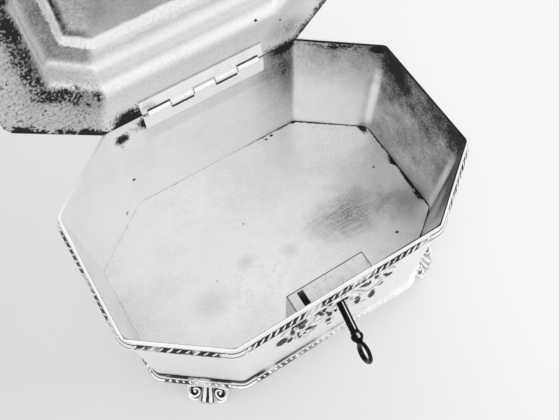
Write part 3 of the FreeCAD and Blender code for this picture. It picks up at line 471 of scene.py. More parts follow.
# %% [markdown]
# The wires round the rim and the lid, the foot ring and the ground strips behind the leaves
# are separate strips of silver. The wires and ring are bright with a dirty line where they
# meet the sheet. The ground strips are black, because polish never reaches between the
# leaves, but turn bright near each corner, where the strip is plain with two reeds. On the
# base the black fades towards the right.
# %% Finishes of wires and ground strips


def left_share(x, least):
    """1 at the left end, where it is darkest, falling to least towards the right."""
    return least + (1 - least) * step(x, 40.0, -40.0)


def strip_finish(name, opened, black, reeds, band=(0.0, 999.0), fades=False):
    """black is the share of soot in the band away from the corners, reeds are lines drawn there."""
    material, p = blank_finish(name)
    if opened:
        p = closed_point(p)
    x, y, z = parts_of(p)
    long, wide, cut, out = octagon(x, y, 0.0)
    mid, fine = cloud(p, 5.0, 4.0, 0.65), cloud(p, 0.9, 3.0, 0.7)
    corner = (step(abs(long - cut), 4.4, 3.2) + step(abs(wide - cut), 4.4, 3.2)).min(1.0)
    line = 0.0
    for level, half in reeds:
        line = line + step(abs(z - level), half + 0.1, half - 0.1)
    joint = step(abs(out - 1.02), 0.16, 0.05) * 0.45
    in_band = step(abs(z + 0.8 * (fine - 0.5) - band[0]), band[1] + 0.3, band[1] - 0.2)
    worn = 0.3 + 0.7 * step(cloud(p, 11.0), 0.36, 0.5)
    soot = (1 - corner) * black * in_band * worn + corner * line * 0.85
    if fades:
        soot = soot * left_share(x, 0.1)
    tarnish_and_shade = soot + joint * (1 - black) + 0.04 * mid + step(fine + 0.4 * mid, 0.85, 0.95) * 0.4
    metal(name, CLEAN, tarnish_and_shade.min(0.97), 0.28 + 0.25 * mid, fine, 0.02, 0.7)
    return material


wear(strip_finish("wire_silver", False, 0.0, []), "rim_wire")
wear(strip_finish("lid_wire_silver", True, 0.0, []), "lid_rim_wire")
wear(strip_finish("rim_ground", False, 0.97, [(82.2, 0.3), (80.1, 0.22)], (81.15, 1.35)), "rim_border")
wear(strip_finish("lid_ground", True, 0.85, [(86.0, 0.3), (87.4, 0.2)], (86.8, 1.2)), "lid_border")
wear(strip_finish("base_ground", False, 0.9, [(13.1, 0.2), (11.9, 0.2)], (12.5, 0.7), True), "base_border")
wear(strip_finish("ring_silver", False, 0.95, [(14.5, 0.3)], (14.4, 0.5), True), "base_ring")

# %% [markdown]
# The hinge leaves and the lock are plainer work. The leaves are bright sheet with fine
# scratches, the lock's brass is silvered and pitted, and the pin, spring and drill pin are
# dull steel. One function gives each its colour and wear. Some also have dark lines: painted
# shade in the slits beside and under the hinge's knuckles, and a dark outline round the lock's top.
# %% Finishes of the hinge and the lock
KNUCKLE = 11.0


def knuckle_mask(x, indexes):
    """1 where x lies in one of the numbered fifths of the hinge's length."""
    mask = 0.0
    for index in indexes:
        mask = mask + step(abs(x - (index - 2) * KNUCKLE), 0.5 * KNUCKLE + 0.1, 0.5 * KNUCKLE - 0.2)
    return mask


def worked_metal(name, grey, dullness, pitting, roughness, metallic=1.0, dark_lines_of=None):
    """Plain metal; the last argument may add dark lines at the point, such as painted shade in slits."""
    material, p = blank_finish(name)
    mid, fine = cloud(p, 4.0, 5.0, 0.65), cloud(p, 0.7, 3.0, 0.7)
    streak = cloud(stretched(p, 0.15, 12.0), 0.6, 3.0)
    tarnish_and_shade = dullness * (0.4 + 1.2 * mid) + step(fine + 0.5 * mid, 0.82, 0.94) * pitting
    tarnish_and_shade = tarnish_and_shade + step(streak, 0.6, 0.75) * 0.1
    if dark_lines_of is not None:
        tarnish_and_shade = tarnish_and_shade + dark_lines_of(p)
    metal(name, (grey, grey, grey - 0.005, 1.0), tarnish_and_shade.min(0.97), roughness + 0.2 * mid,
          fine + streak, 0.02, metallic)
    return material


def body_leaf_slit_shade(point):
    """Painted shade in the slits under the lid's knuckles and between neighbouring knuckles, and a darker
    band at the leaf's lower edge.
    """
    x, y, z = parts_of(point)
    ragged = 0.5 * (cloud(point, 1.5) - 0.5)
    slit = step(abs(z - 81.8 + ragged), 1.0, 0.7) * knuckle_mask(x, (1, 3)) * step(y, 53.4, 53.1)
    ends = step(abs(abs(abs(x) - KNUCKLE) - 0.5 * KNUCKLE), 0.45, 0.2) * step(z, 82.0, 82.6)
    foot = step(z, 74.9, 74.7) * 0.3
    return slit * 0.95 + ends * 0.9 + foot


def lid_leaf_slit_shade(point):
    """The same on the lid's leaf, worked out with the lid shut: painted shade in its slits, a darker far edge
    and a smudge.
    """
    x, y, z = parts_of(closed_point(point))
    ragged = 0.5 * (cloud(point, 1.5) - 0.5)
    slit = step(y + ragged, 50.9, 51.4) * step(y, 53.2, 53.0) * knuckle_mask(x, (0, 2, 4))
    far_edge = step(y, 45.72, 45.6) * 0.5
    smudges = patch(point, (-26.0, 53.0, 88.0), (5.0, 3.0, 4.0), cloud(point, 2.0), 0.9) * 0.4
    return slit * (0.95 - 0.6 * knuckle_mask(x, (2,))) + far_edge + smudges


def cap_outline(point):
    """A dark outline round the top of the lock."""
    x, y, z = parts_of(point)
    low, high = ([1000 * float(v) for v in corner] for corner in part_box("lock_plate"))
    ragged = 0.3 * (cloud(point, 2.0) - 0.5)
    edge = 0.0
    for value, side in ((x, low[0]), (x, high[0]), (y, high[1])):
        edge = edge + step(abs(value - side) + ragged, 0.5, 0.25)
    return edge.min(1.0) * step(z, high[2] - 0.4, high[2] - 0.15) * 0.7


leaf_sheet = worked_metal("hinge_silver", 1.0, 0.02, 0.1, 0.3, 0.0, body_leaf_slit_shade)
lid_leaf_sheet = worked_metal("lid_hinge_silver", 1.0, 0.08, 0.2, 0.3, 0.0, lid_leaf_slit_shade)
lock_top = worked_metal("lock_top_brass", 0.85, 0.24, 0.3, 0.36, 0.3, cap_outline)
lock_metal = worked_metal("silvered_brass", 0.85, 0.14, 0.2, 0.36)
steel = worked_metal("dull_steel", 0.5, 0.4, 0.5, 0.4)
wear(leaf_sheet, "body_hinge_leaf")
wear(lid_leaf_sheet, "lid_hinge_leaf")
wear(lock_top, "lock_plate", "lock_cap")
wear(lock_metal, "lock_posts", "lock_rivets", "bolt", "bolt_guide_stud", "ward", "lid_staple")
wear(steel, "hinge_pin", "bolt_spring", "drill_pin")

# %% [markdown]
# Cast ornament is bright on its tops and black in its hollows. A mesh attribute called
# `hollow` is stored on every ornament mesh below, 0 on a crest and 1 in a hollow, and the
# finish only has to read it and roughen it a little with noise. The plates behind the feet's
# scrolls are marked 1 as well, there as painted shadow.
# %% Finish of cast ornament
HOLLOW = "hollow"


def cast_finish(name, patchy=0.0, right_end=1.0):
    """patchy makes whole leaves dark or bright, right_end is the share of soot left at the right."""
    material, p = blank_finish(name)
    mid, fine = cloud(p, 6.0, 4.0, 0.6), cloud(p, 0.6, 3.0, 0.7)
    hollow = p.sheet.node("ShaderNodeAttribute", {"attribute_name": HOLLOW}, None, "Fac")
    hollow = hollow + patchy * (cloud(p, 4.0, 2.0) - 0.5)
    tarnish_and_shade = step(hollow + 0.35 * (fine - 0.5) + 0.3 * (mid - 0.5), 0.38, 0.72) * 0.97
    tarnish_and_shade = tarnish_and_shade * left_share(parts_of(p)[0], right_end)
    tarnish_and_shade = tarnish_and_shade + step(fine + 0.4 * mid, 0.84, 0.95) * 0.4 + 0.05 * mid
    metal(name, CLEAN, tarnish_and_shade.min(0.98), 0.26 + 0.3 * tarnish_and_shade.min(1.0), fine, 0.03, 0.7)
    return material


cast_silver = cast_finish("cast_silver")
rim_cast = cast_finish("rim_cast", 1.6)
base_cast = cast_finish("base_cast", 1.8, 0.2)
foot_cast = cast_finish("foot_cast", 0.8, 0.45)

# %% [markdown]
# The ornament meshes all go through one helper. It takes points in millimetres, makes the
# faces point outwards, stores the `hollow` attribute, shades smoothly, and puts the
# object at the origin with its place in its mesh, as the solids have it. A second one joins
# rings of points by faces, which rods, leaves and turned work all need.
# %% Helpers that make a piece from points


def piece(name, points, faces, material, hollow=None, transform=None):
    mesh = bpy.data.meshes.new(name)
    mesh.from_pydata([tuple(point) for point in points], [], faces)
    if hollow is not None:
        attribute = mesh.attributes.new(HOLLOW, "FLOAT", "POINT")
        attribute.data.foreach_set("value", np.asarray(hollow, dtype=np.float32))
    work = bmesh.new()
    work.from_mesh(mesh)
    bmesh.ops.recalc_face_normals(work, faces=work.faces)
    work.to_mesh(mesh)
    work.free()
    if transform is not None:
        mesh.transform(transform)
    mesh.transform(Matrix.Scale(MM, 4))
    mesh.polygons.foreach_set("use_smooth", [True] * len(mesh.polygons))
    mesh.materials.append(material)
    made = bpy.data.objects.new(name, mesh)
    bpy.context.scene.collection.objects.link(made)
    return made


def skin(rings, sides, closed=False):
    """Faces between neighbouring rings of points, and caps on the ends of an open row."""
    faces = []
    for ring in range(rings if closed else rings - 1):
        here, following = ring * sides, (ring + 1) % rings * sides
        for side in range(sides):
            beside = (side + 1) % sides
            faces.append([here + side, here + beside, following + beside, following + side])
    if not closed:
        faces += [list(range(sides))[::-1], [(rings - 1) * sides + side for side in range(sides)]]
    return faces


class Lump:
    """Gathers the points and faces of several closed forms that become one piece."""

    def __init__(self):
        self.points, self.faces, self.hollow = [], [], []

    def add(self, points, faces, hollow):
        start = len(self.points)
        self.points += list(points)
        self.faces += [[start + corner for corner in face] for face in faces]
        self.hollow += list(hollow)


# %% [markdown]
# A scroll, a bar or a key's bow is a rod swept along a line. At each point of the line the
# sweep sets a ring of points square to the direction, carrying the ring's turn along from
# one point to the next so that the rod doesn't twist. The radius may change on the way.
# %% A rod swept along a line


def circle(count):
    """Angles that go once round."""
    return [2 * math.pi * index / count for index in range(count)]


def rod(lump, line, radii, sides, closed=False):
    line = [Vector(point) for point in line]
    count = len(line)
    points, normal = [], None
    for index, (point, radius) in enumerate(zip(line, radii)):
        after = line[(index + 1) % count] if closed else line[min(index + 1, count - 1)]
        before = line[index - 1] if closed else line[max(index - 1, 0)]
        along = (after - before).normalized()
        if normal is None:
            normal = along.cross(Vector((0.0, 1.0, 0.0)))
            if normal.length < 0.1:
                normal = along.cross(Vector((0.0, 0.0, 1.0)))
        normal = (normal - along * normal.dot(along)).normalized()
        across = along.cross(normal)
        for turn in circle(sides):
            points.append(point + (normal * math.cos(turn) + across * math.sin(turn)) * radius)
    lump.add(points, skin(count, sides, closed), [0.0] * len(points))


# %% [markdown]
# The borders under the rim, on the lid and round the base are runs of small slanting
# leaves. One leaf is drawn as a low mesh of three rings: an outline that sits on the ground
# strip, a shoulder and a ridge. Its outline is marked hollow, its ridge is bright.
# It is repeated hundreds of times, so it has only a few dozen faces.
# %% One leaf of the border
LEAF_POINTS = 12


def leaf_motif(name, finish, height, width, rise, lean, slope):
    """Leaf drawn with X along the border, Z up and -Y outward, its top leaning in by the slope."""
    points, hollow = [], []
    level, steep = math.cos(math.radians(slope)), math.sin(math.radians(slope))
    for share, lift, dark in ((1.0, -0.25, 1.0), (0.82, 0.7, 0.3), (0.42, 1.0, 0.0)):
        for turn in circle(LEAF_POINTS):
            up = 0.5 * height * share * math.sin(turn)
            lobed = (1.0 + 0.16 * math.cos(3 * turn + 1.0)) * (1.0 - 0.35 * up / height)
            across = 0.5 * width * share * math.cos(turn) * lobed
            out = lift * rise
            points.append((across + up * lean, up * steep - out * level, up * level + out * steep))
            hollow.append(dark)
    points.append((0.0, -0.72 * rise * level, 0.72 * rise * steep))
    hollow.append(0.45)
    faces = skin(3, LEAF_POINTS)
    ridge = faces.pop()
    faces += [[near, far, len(points) - 1] for near, far in zip(ridge, ridge[1:] + ridge[:1])]
    made = piece(name, points, faces, finish, hollow)
    print(name, "faces", len(made.data.polygons))
    return made


# %% [markdown]
# Geometry Nodes set the leaves out. The tree takes bare edges, one for each straight run,
# turns them into curves, divides these by a named spacing, stands a leaf on each point with
# its X along the run, and gives each a slightly different size from a fixed seed.
# It ends by making the copies real and giving them their finish, so the result is plain mesh.
# %% The border tree
border_tree = bpy.data.node_groups.new("leaf_border", "GeometryNodeTree")
border_tree.interface.new_socket("Geometry", in_out="OUTPUT", socket_type="NodeSocketGeometry")
sockets = {}
for label, kind in (("Runs", "Geometry"), ("Leaf", "Object"), ("Spacing", "Float"), ("Smallest", "Float"),
                    ("Largest", "Float"), ("Seed", "Int"), ("Finish", "Material")):
    socket = border_tree.interface.new_socket(label, in_out="INPUT", socket_type="NodeSocket" + kind)
    sockets[label] = socket.identifier
g = Sheet(border_tree)
given = border_tree.nodes.new("NodeGroupInput")
take = {label: Wire(g, given.outputs[label]) for label in sockets}
curve = g.node("GeometryNodeMeshToCurve", None, {"Mesh": take["Runs"]})
curve = g.node("GeometryNodeResampleCurve", {"mode": "LENGTH"}, {"Curve": curve, "Length": take["Spacing"]})
along_run = g.node("GeometryNodeInputTangent")
turned = g.node("FunctionNodeAlignRotationToVector", {"axis": "X", "pivot_axis": "Z"}, {"Vector": along_run})
size = g.node("FunctionNodeRandomValue", {"data_type": "FLOAT"},
              {2: take["Smallest"], 3: take["Largest"], "Seed": take["Seed"]}, 1)
leaf = g.node("GeometryNodeObjectInfo", None, {"Object": take["Leaf"]}, "Geometry")
stood = g.node("GeometryNodeInstanceOnPoints", None,
               {"Points": curve, "Instance": leaf, "Rotation": turned, "Scale": size})
real = g.node("GeometryNodeRealizeInstances", None, {"Geometry": stood})
dressed = g.node("GeometryNodeSetMaterial", None, {"Geometry": real, "Material": take["Finish"]})
g.node("NodeGroupOutput", None, {0: dressed})
print("border tree nodes", len(border_tree.nodes))

# %% [markdown]
# Each border needs its runs: the straight sides of the octagon at one height, each cut back
# near the corners, where the strip stays plain. The modifier's inputs are set by their
# identifiers before the object is first evaluated, then the result is copied out
# as a plain mesh and the working object is removed. The lid's border is turned open last.
# %% Setting out a border


def border(name, body, motif, out, level, spacing, spare, sizes, seed, opened=False):
    """Leaves along the octagon moved outward; spare is the plain length at each end of a run."""
    corners = plan_corners(out)
    points = []
    for index in range(8):
        first, last = Vector(corners[index - 1]), Vector(corners[index])
        way = (last - first).normalized()
        points += [(*(first + way * spare), level), (*(last - way * spare), level)]
    mesh = bpy.data.meshes.new(name + "_runs")
    mesh.from_pydata([tuple(v * MM for v in point) for point in points],
                     [(2 * index, 2 * index + 1) for index in range(8)], [])
    runs = bpy.data.objects.new(name + "_runs", mesh)
    bpy.context.scene.collection.objects.link(runs)
    setter = runs.modifiers.new("leaves", "NODES")
    setter.node_group = border_tree
    for label, value in (("Leaf", motif), ("Spacing", spacing * MM), ("Smallest", sizes[0]),
                         ("Largest", sizes[1]), ("Seed", seed), ("Finish", motif.data.materials[0])):
        setter[sockets[label]] = value
    shown = runs.evaluated_get(bpy.context.evaluated_depsgraph_get())
    plain = bpy.data.meshes.new_from_object(shown)
    made = bpy.data.objects.new(name, plain)
    bpy.data.objects.remove(runs)
    bpy.context.scene.collection.objects.link(made)
    if opened:
        hinge = Matrix.Translation((0.0, HINGE_Y * MM, RIM * MM))
        plain.transform(hinge @ Matrix.Rotation(-LID_TURN, 4, "X") @ hinge.inverted())
    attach(made, body)
    print(name, "triangles", sum(len(face.vertices) - 2 for face in plain.polygons))


rim_leaf = leaf_motif("rim_leaf", rim_cast, 3.0, 1.4, 0.5, 0.9, 25.4)
base_leaf = leaf_motif("base_leaf", base_cast, 1.8, 1.5, 0.4, -0.5, 50.0)
lid_leaf = leaf_motif("lid_leaf", cast_silver, 2.9, 2.2, 0.4, 0.4, 5.0)
border("rim_leaves", "box", rim_leaf, 2.0, 81.15, 3.1, 4.6, (0.7, 1.1), 3)
border("base_leaves", "box", base_leaf, 0.95, 12.75, 2.9, 4.2, (0.7, 1.1), 5)
border("lid_leaves", "lid", lid_leaf, 0.85, 86.8, 2.6, 5.0, (0.85, 1.02), 7, True)
for motif in (rim_leaf, base_leaf, lid_leaf):
    bpy.data.objects.remove(motif)

# %% [markdown]
# The keyhole cartouche is cast relief: C-scrolls, leaf sprays and a shell over a boss. It is
# made as a height field. Strokes are written as short lines with a width at each end and a
# height, each stroke is a chain of domes, and every point of a fine grid takes the highest
# dome over it. The strokes are the same left and right, but the black hollows between them
# aren't, so they have a list of their own.
# %% Strokes and hollows of the cartouche
KEYHOLE_X, KEYHOLE_Z = 0.45, 64.7


def arc_line(centre_x, centre_z, radius, start, sweep, shrink, count=22):
    """Arc that may tighten into a scroll: the radius ends at shrink times its start."""
    line = []
    for index in range(count):
        share = index / (count - 1)
        turn = math.radians(start + sweep * share)
        reach = radius * (1 - share + share * shrink)
        line.append((centre_x + reach * math.cos(turn), centre_z + reach * math.sin(turn)))
    return line


def bent_line(ax, az, bx, bz, cx, cz, count=16):
    """Smooth line through three points."""
    line = []
    for index in range(count):
        t = index / (count - 1)
        near, middle, far = (1 - t) * (1 - 2 * t), 4 * t * (1 - t), t * (2 * t - 1)
        line.append((near * ax + middle * bx + far * cx, near * az + middle * bz + far * cz))
    return line


# Centre, radius, start, sweep and shrink, then the width at each end and the height.
curls = [
    (10.6, 2.6, 4.9, 215, -300, 0.42, 1.15, 0.55, 1.7), (18.6, 4.6, 3.7, 170, 270, 0.4, 0.95, 0.5, 1.45),
    (10.4, -11.6, 5.2, 110, 300, 0.45, 1.15, 0.55, 1.6),
]
# Three points, then the width at each end and the height.
sprays = [
    (4.4, 6.8, 9.0, 10.6, 14.6, 11.6, 1.3, 0.5, 1.5),
    (13.2, 9.0, 18.0, 10.8, 23.4, 9.6, 1.15, 0.4, 1.3),
    (20.8, 7.4, 24.6, 7.6, 28.0, 4.4, 1.05, 0.35, 1.2),
    (21.6, 2.2, 25.0, 1.4, 27.6, -1.6, 0.95, 0.35, 1.1),
    (14.6, -1.4, 18.2, -2.4, 21.0, -5.6, 1.05, 0.4, 1.2),
    (5.4, -3.2, 9.4, -4.6, 11.6, -8.2, 1.2, 0.45, 1.4),
    (3.6, -6.4, 5.6, -9.2, 4.6, -12.6, 1.05, 0.4, 1.3),
    (8.6, 7.6, 11.4, 8.4, 12.8, 6.0, 0.8, 0.35, 1.2),
    (15.4, 13.2, 18.6, 13.6, 21.4, 12.2, 0.95, 0.35, 1.1),
    (3.4, 9.6, 5.4, 12.6, 8.6, 13.9, 1.0, 0.4, 1.3),
    (1.8, -13.6, 4.6, -18.6, 9.4, -21.6, 1.3, 0.5, 1.4),
    (12.4, -17.2, 17.0, -16.4, 20.6, -20.6, 1.1, 0.4, 1.3),
    (17.6, -16.6, 21.2, -14.0, 22.8, -10.4, 0.95, 0.35, 1.2),
    (7.4, -21.4, 10.8, -26.4, 15.4, -29.2, 1.05, 0.4, 1.2),
    (12.2, -28.4, 14.6, -31.4, 17.2, -31.8, 0.9, 0.4, 1.0),
    (1.2, -20.0, 3.6, -23.6, 4.2, -27.0, 0.95, 0.4, 1.2),
]
strokes = [(arc_line(*row[:6]), *row[6:]) for row in curls]
strokes += [(bent_line(*row[:6]), *row[6:]) for row in sprays]
strokes += [([(-a, b) for a, b in line], *rest) for line, *rest in strokes]
strokes += [(bent_line(0.0, 6.0, 0.0, 10.0, 0.0, 13.8), 1.1, 1.2, 1.9),
            (bent_line(0.0, -7.0, 0.0, -17.0, 0.0, -28.0), 1.5, 0.7, 1.5),
            (arc_line(0.0, -1.2, 5.3, 0, 360, 1.0, 40), 1.0, 1.0, 2.0)]
# Place on the wall, half width, half height, and lean in degrees.
hollows = [
    (-18.6, 67.0, 2.2, 3.4, 12), (-16.4, 65.0, 1.1, 3.4, 10), (-17.6, 58.6, 1.2, 3.4, 12),
    (-22.3, 66.0, 0.5, 4.6, 0), (-10.6, 67.6, 1.4, 2.2, 0), (-5.6, 66.0, 2.1, 4.4, 5),
    (-8.0, 60.0, 0.7, 5.2, 18), (3.0, 65.0, 1.0, 4.8, 18), (13.4, 65.4, 1.7, 4.6, 22),
    (10.9, 67.4, 1.2, 2.4, 10), (18.3, 66.5, 0.8, 2.6, 10), (-27.0, 52.6, 2.1, 4.2, 6),
    (-23.0, 47.0, 1.1, 3.0, 0), (-19.0, 49.0, 0.5, 2.0, 0), (-12.4, 46.6, 1.6, 3.2, 40),
    (-15.5, 43.4, 0.7, 1.9, 15), (-3.8, 52.6, 1.1, 4.2, 14), (-0.2, 53.4, 0.9, 3.4, 5),
    (-3.0, 41.2, 1.0, 3.9, 12), (-1.3, 29.2, 0.8, 3.0, 15), (-13.3, 27.2, 1.4, 3.0, 15),
    (11.7, 45.6, 1.3, 4.4, 10), (12.6, 40.5, 1.0, 2.6, 10), (20.7, 37.4, 1.4, 4.4, 10),
    (19.8, 45.0, 0.8, 2.8, 14), (23.5, 48.4, 1.2, 1.7, 10), (26.4, 57.2, 1.4, 2.2, 20),
    (24.0, 60.5, 0.6, 2.0, 30), (6.8, 57.0, 0.6, 3.4, 12), (-17.6, 41.0, 0.8, 1.6, 0),
    (7.0, 66.6, 0.8, 2.2, 0), (-22.0, 58.0, 0.9, 2.6, 10), (-18.2, 74.6, 1.0, 4.2, 16),
    (-14.6, 74.6, 1.1, 3.0, 8), (-11.0, 74.4, 1.1, 3.6, 8), (-5.6, 73.4, 0.8, 4.2, 6),
    (-3.0, 74.8, 1.3, 3.2, 6), (0.9, 74.0, 0.7, 3.2, 6), (11.8, 74.8, 1.1, 3.2, 14),
    (26.4, 73.4, 1.3, 2.6, 16),
]
print("strokes", len(strokes), "hollows", len(hollows))

# %% [markdown]
# Each point of the grid gets three things: its height, its share of black, and whether it is
# kept. Points far from every stroke and hollow are left out, which gives the ragged outline,
# and so are those at the keyhole. A slow ripple keeps the strokes from looking machined.
# %% Relief of the cartouche
GRID = 0.3
across, up = np.meshgrid(np.arange(-31.5, 31.5, GRID), np.arange(-34.5, 15.5, GRID))
height, reach, sunk = np.zeros(across.shape), np.full(across.shape, 99.0), np.zeros(across.shape)
ripple = 1.0 + 0.12 * np.sin(across * 2.7 + 1.0) * np.sin(up * 2.3)
for line, first, last, top in strokes:
    for index, (a, b) in enumerate(line):
        width = first + (last - first) * index / (len(line) - 1)
        away = np.hypot(across - a, up - b) * ripple
        dome = np.sqrt(np.clip(1 - (away / width) ** 2, 0, 1))
        dome = dome * top * (0.55 + 0.45 * width / max(first, last))
        height, reach = np.maximum(height, dome), np.minimum(reach, away - width)
for a, b, half_wide, half_high, lean in hollows:
    lean = math.radians(lean)
    right, above = across + KEYHOLE_X - a, up + KEYHOLE_Z - b
    beside = (right * math.cos(lean) + above * math.sin(lean)) / half_wide
    along = (above * math.cos(lean) - right * math.sin(lean)) / half_high
    sunk = np.maximum(sunk, np.clip(3.6 - np.hypot(along, beside) * 2.3 * ripple, 0, 1))
hole = (np.hypot(across, up) < 2.25) | ((np.abs(across) < 1.15) & (up < 0) & (up > -7.3))
keep = ((reach < 0.55) | (sunk > 0.1)) & ~hole
sunk = sunk * (1 - 0.9 * np.clip((height - 1.15) / 0.25, 0, 1))
raised = 0.25 + 0.5 * height * (1 - 0.85 * sunk)
black = 0.78 * np.clip(0.75 - height / 0.75, 0, 1) * np.clip(1.3 - np.maximum(reach, 0) * 1.1, 0, 1)
black = np.maximum(black, sunk)
print("cartouche grid", across.shape, "kept", int(keep.sum()))

# %% [markdown]
# The grid lies on the front wall, which leans, so each point starts on the wall's outer face
# and is raised outward by its height. A copy of the grid just inside the wall and a strip
# round the edge close the form.
# %% The cartouche


def cartouche():
    cells = keep[:-1, :-1] & keep[1:, :-1] & keep[:-1, 1:] & keep[1:, 1:]
    used = np.zeros_like(keep)
    rows, columns = keep.shape
    for down in (0, 1):
        for aside in (0, 1):
            used[down:rows - 1 + down, aside:columns - 1 + aside] |= cells
    total = int(used.sum())
    number = -np.ones(keep.shape, int)
    number[used] = np.arange(total)
    wall = SLOPE * (RIM - (KEYHOLE_Z + up)) - (HALF_WIDE + 1.0)
    front, back = (np.stack([KEYHOLE_X + across[used], depth[used], KEYHOLE_Z + up[used]], 1)
                   for depth in (wall - raised, wall + 0.15))
    framed = np.pad(cells, 1)
    faces = []
    for row, column in zip(*np.nonzero(cells)):
        ring = [int(number[row + down, column + aside]) for down, aside in ((0, 0), (0, 1), (1, 1), (1, 0))]
        faces += [ring, [corner + total for corner in ring[::-1]]]
        for side, (down, aside) in enumerate(((0, 1), (1, 2), (2, 1), (1, 0))):
            if not framed[row + down, column + aside]:
                near, far = ring[side], ring[(side + 1) % 4]
                faces.append([far, near, near + total, far + total])
    print("cartouche points", 2 * total, "faces", len(faces))
    return piece("cartouche", np.vstack([front, back]), faces, cast_silver, np.tile(black[used], 2))


scrolls = cartouche()
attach(scrolls, "box")
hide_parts("escutcheon")

# %% [markdown]
# Each foot is cast: a rail under the ring, a ribbed shell that flares out to the toe, and
# an open scroll at each side. The shell is a surface over two shares, across and down,
# with ribs raised by a cosine, and a second copy behind it gives it thickness.
# %% The shell of a foot


def foot_out(down):
    """How far out the foot's face is, at a share of its height down from the ring."""
    return 1.0 + 1.1 * down + 5.3 * down ** 2.2


def shell(lump):
    columns, rows = 29, 15
    front, back, shade = [], [], []
    for row in range(rows):
        down = row / (rows - 1)
        half = 2.2 + 1.0 * down ** 1.3
        for column in range(columns):
            share = 2 * column / (columns - 1) - 1
            rib = 0.5 - 0.5 * math.cos(share * math.pi * 2)
            round_off = math.sqrt(max(0.0, 1 - share ** 4 * 0.6))
            low = -9.9 * down * (1.0 - 0.1 * share ** 2)
            lift = foot_out(down) - 0.5 + (0.65 * rib + 0.5) * round_off * (0.6 + 0.5 * down)
            front.append((half * share, lift, low))
            back.append((half * share * 0.96, lift - 1.7, low * 0.97 - 0.05))
            shade.append(1.0 - rib if abs(share) < 0.93 else 0.5)
    count = rows * columns
    faces = []
    for start in (row * columns + column for row in range(rows - 1) for column in range(columns - 1)):
        ring = [start, start + 1, start + columns + 1, start + columns]
        faces += [ring, [corner + count for corner in ring[::-1]]]
    rim = list(range(columns)) + [row * columns + columns - 1 for row in range(1, rows)]
    rim += [(rows - 1) * columns + column for column in range(columns - 2, -1, -1)]
    rim += [row * columns for row in range(rows - 2, 0, -1)]
    for near, far in zip(rim, rim[1:] + rim[:1]):
        faces.append([far, near, near + count, far + count])
    lump.add(front + back, faces, shade + [0.8] * count)


print("shell helper ready")

# %% [markdown]
# The scrolls are swept rods that lean outward with the shell, with a thin black plate behind
# each that closes the gap to the ring: it is painted shadow, standing for the dark space under
# the box seen through the scroll. A tail curls up to the rail and a spray of leaf joins scroll
# and toe. The four feet are the same casting, turned to the four cut corners of the box and set
# a little off their middle.
# %% The four feet
FOOT_SHIFT = 3.0
FOOT_TOP, FOOT_TOE = 10.0, -9.98
FOOT_SIDES = {"foot_front_right": (1, -1), "foot_back_right": (1, 1), "foot_back_left": (-1, 1),
              "foot_front_left": (-1, -1)}


def scroll_side(lump, side):
    """Scroll, black plate of painted shadow, tail, spray and peg on one side of a foot."""
    line, radii = [], []
    for share in (index / 33 for index in range(34)):
        turn = math.radians(100 - 430 * share)
        reach = 3.35 * (1 - share) ** 0.75 + 0.55
        across, low = 6.0 + reach * math.cos(turn), -5.0 + reach * math.sin(turn)
        line.append((side * across, foot_out(min(1.0, -low / 9.6)) + 0.25, low))
        radii.append(0.72 - 0.25 * share)
    rod(lump, line, radii, 9)
    # The plate is marked hollow all over, so it comes out black: painted shadow behind the scroll.
    plate = [(side * (5.6 + 2.7 * math.cos(turn)), -5.2 + 3.5 * math.sin(turn)) for turn in circle(24)]
    shadow_plate_faces = [[(a, foot_out(min(1.0, -b / 9.6)) - deep, b) for a, b in plate] for deep in (0.2, 1.0)]
    lump.add(shadow_plate_faces[0] + shadow_plate_faces[1], skin(2, 24), [1.0] * 48)
    tail = [(side * a, foot_out(-b / 10) + 0.1, b) for a, b in ((8.9, -1.4), (9.0, -3.0), (8.0, -4.6))]
    rod(lump, tail, [0.75, 0.6, 0.4], 8)
    spray = [(4.4, -8.9), (6.4, -9.2), (8.2, -8.5), (9.0, -7.2)]
    rod(lump, [(side * a, foot_out(-b / 10) + 0.3, b) for a, b in spray], [0.7, 0.75, 0.65, 0.4], 8)
    rod(lump, [(side * 6.0, 3.1, -4.4), (side * 6.0, 3.7, -5.4)], [0.7, 0.7], 8)


def foot(name):
    side_x, side_y = FOOT_SIDES[name]
    lump = Lump()
    shell(lump)
    rail = [(across, 1.15 - 0.02 * abs(across), -0.85) for across in np.linspace(-9.3, 9.3, 20)]
    rod(lump, rail, [0.85] * len(rail), 10)
    for side in (-1, 1):
        scroll_side(lump, side)
    normal = Vector((side_x * CUT_Y, side_y * CUT_X, 0.0)).normalized()
    across = Vector((0.0, 0.0, 1.0)).cross(normal) * -1
    centre = Vector((side_x * (HALF_LONG - CUT_X / 2), side_y * (HALF_WIDE - CUT_Y / 2), FOOT_TOP))
    centre += Vector((-side_x * CUT_X, side_y * CUT_Y, 0.0)) * (FOOT_SHIFT / CUT_SIDE)
    place = Matrix.Translation(centre) @ Matrix((across, normal, Vector((0, 0, 1)))).transposed().to_4x4()
    points = [(point[0], point[1], max(point[2], FOOT_TOE)) for point in lump.points]
    made = piece(name + "_cast", points, lump.faces, foot_cast, lump.hollow, place)
    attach(made, "box")
    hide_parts(name)
    print(made.name, "faces", len(made.data.polygons))


for name in FOOT_SIDES:
    foot(name)

# %% [markdown]
# The key is blackened iron. It hangs a little loose in the lock, so it has its own three
# directions: out along its axis, up and to the side. Iron blackened by handling is nearly
# black. A thin bright stripe along its top and a glint on the baluster are painted highlights,
# set where a lamp's reflection runs, and show how round it is; a few bright specks are real wear.
# %% The key's finish
KEY_YAW, KEY_DROOP = math.radians(6.5), math.radians(10.0)
key_out = Vector((-math.sin(KEY_YAW), -math.cos(KEY_YAW), 0.0)) * math.cos(KEY_DROOP)
key_out.z = -math.sin(KEY_DROOP)
key_up = (Vector((0, 0, 1)) - key_out * key_out.z).normalized()
key_side = key_up.cross(key_out)
key_start = Vector((KEYHOLE_X, -HALF_WIDE, KEYHOLE_Z))


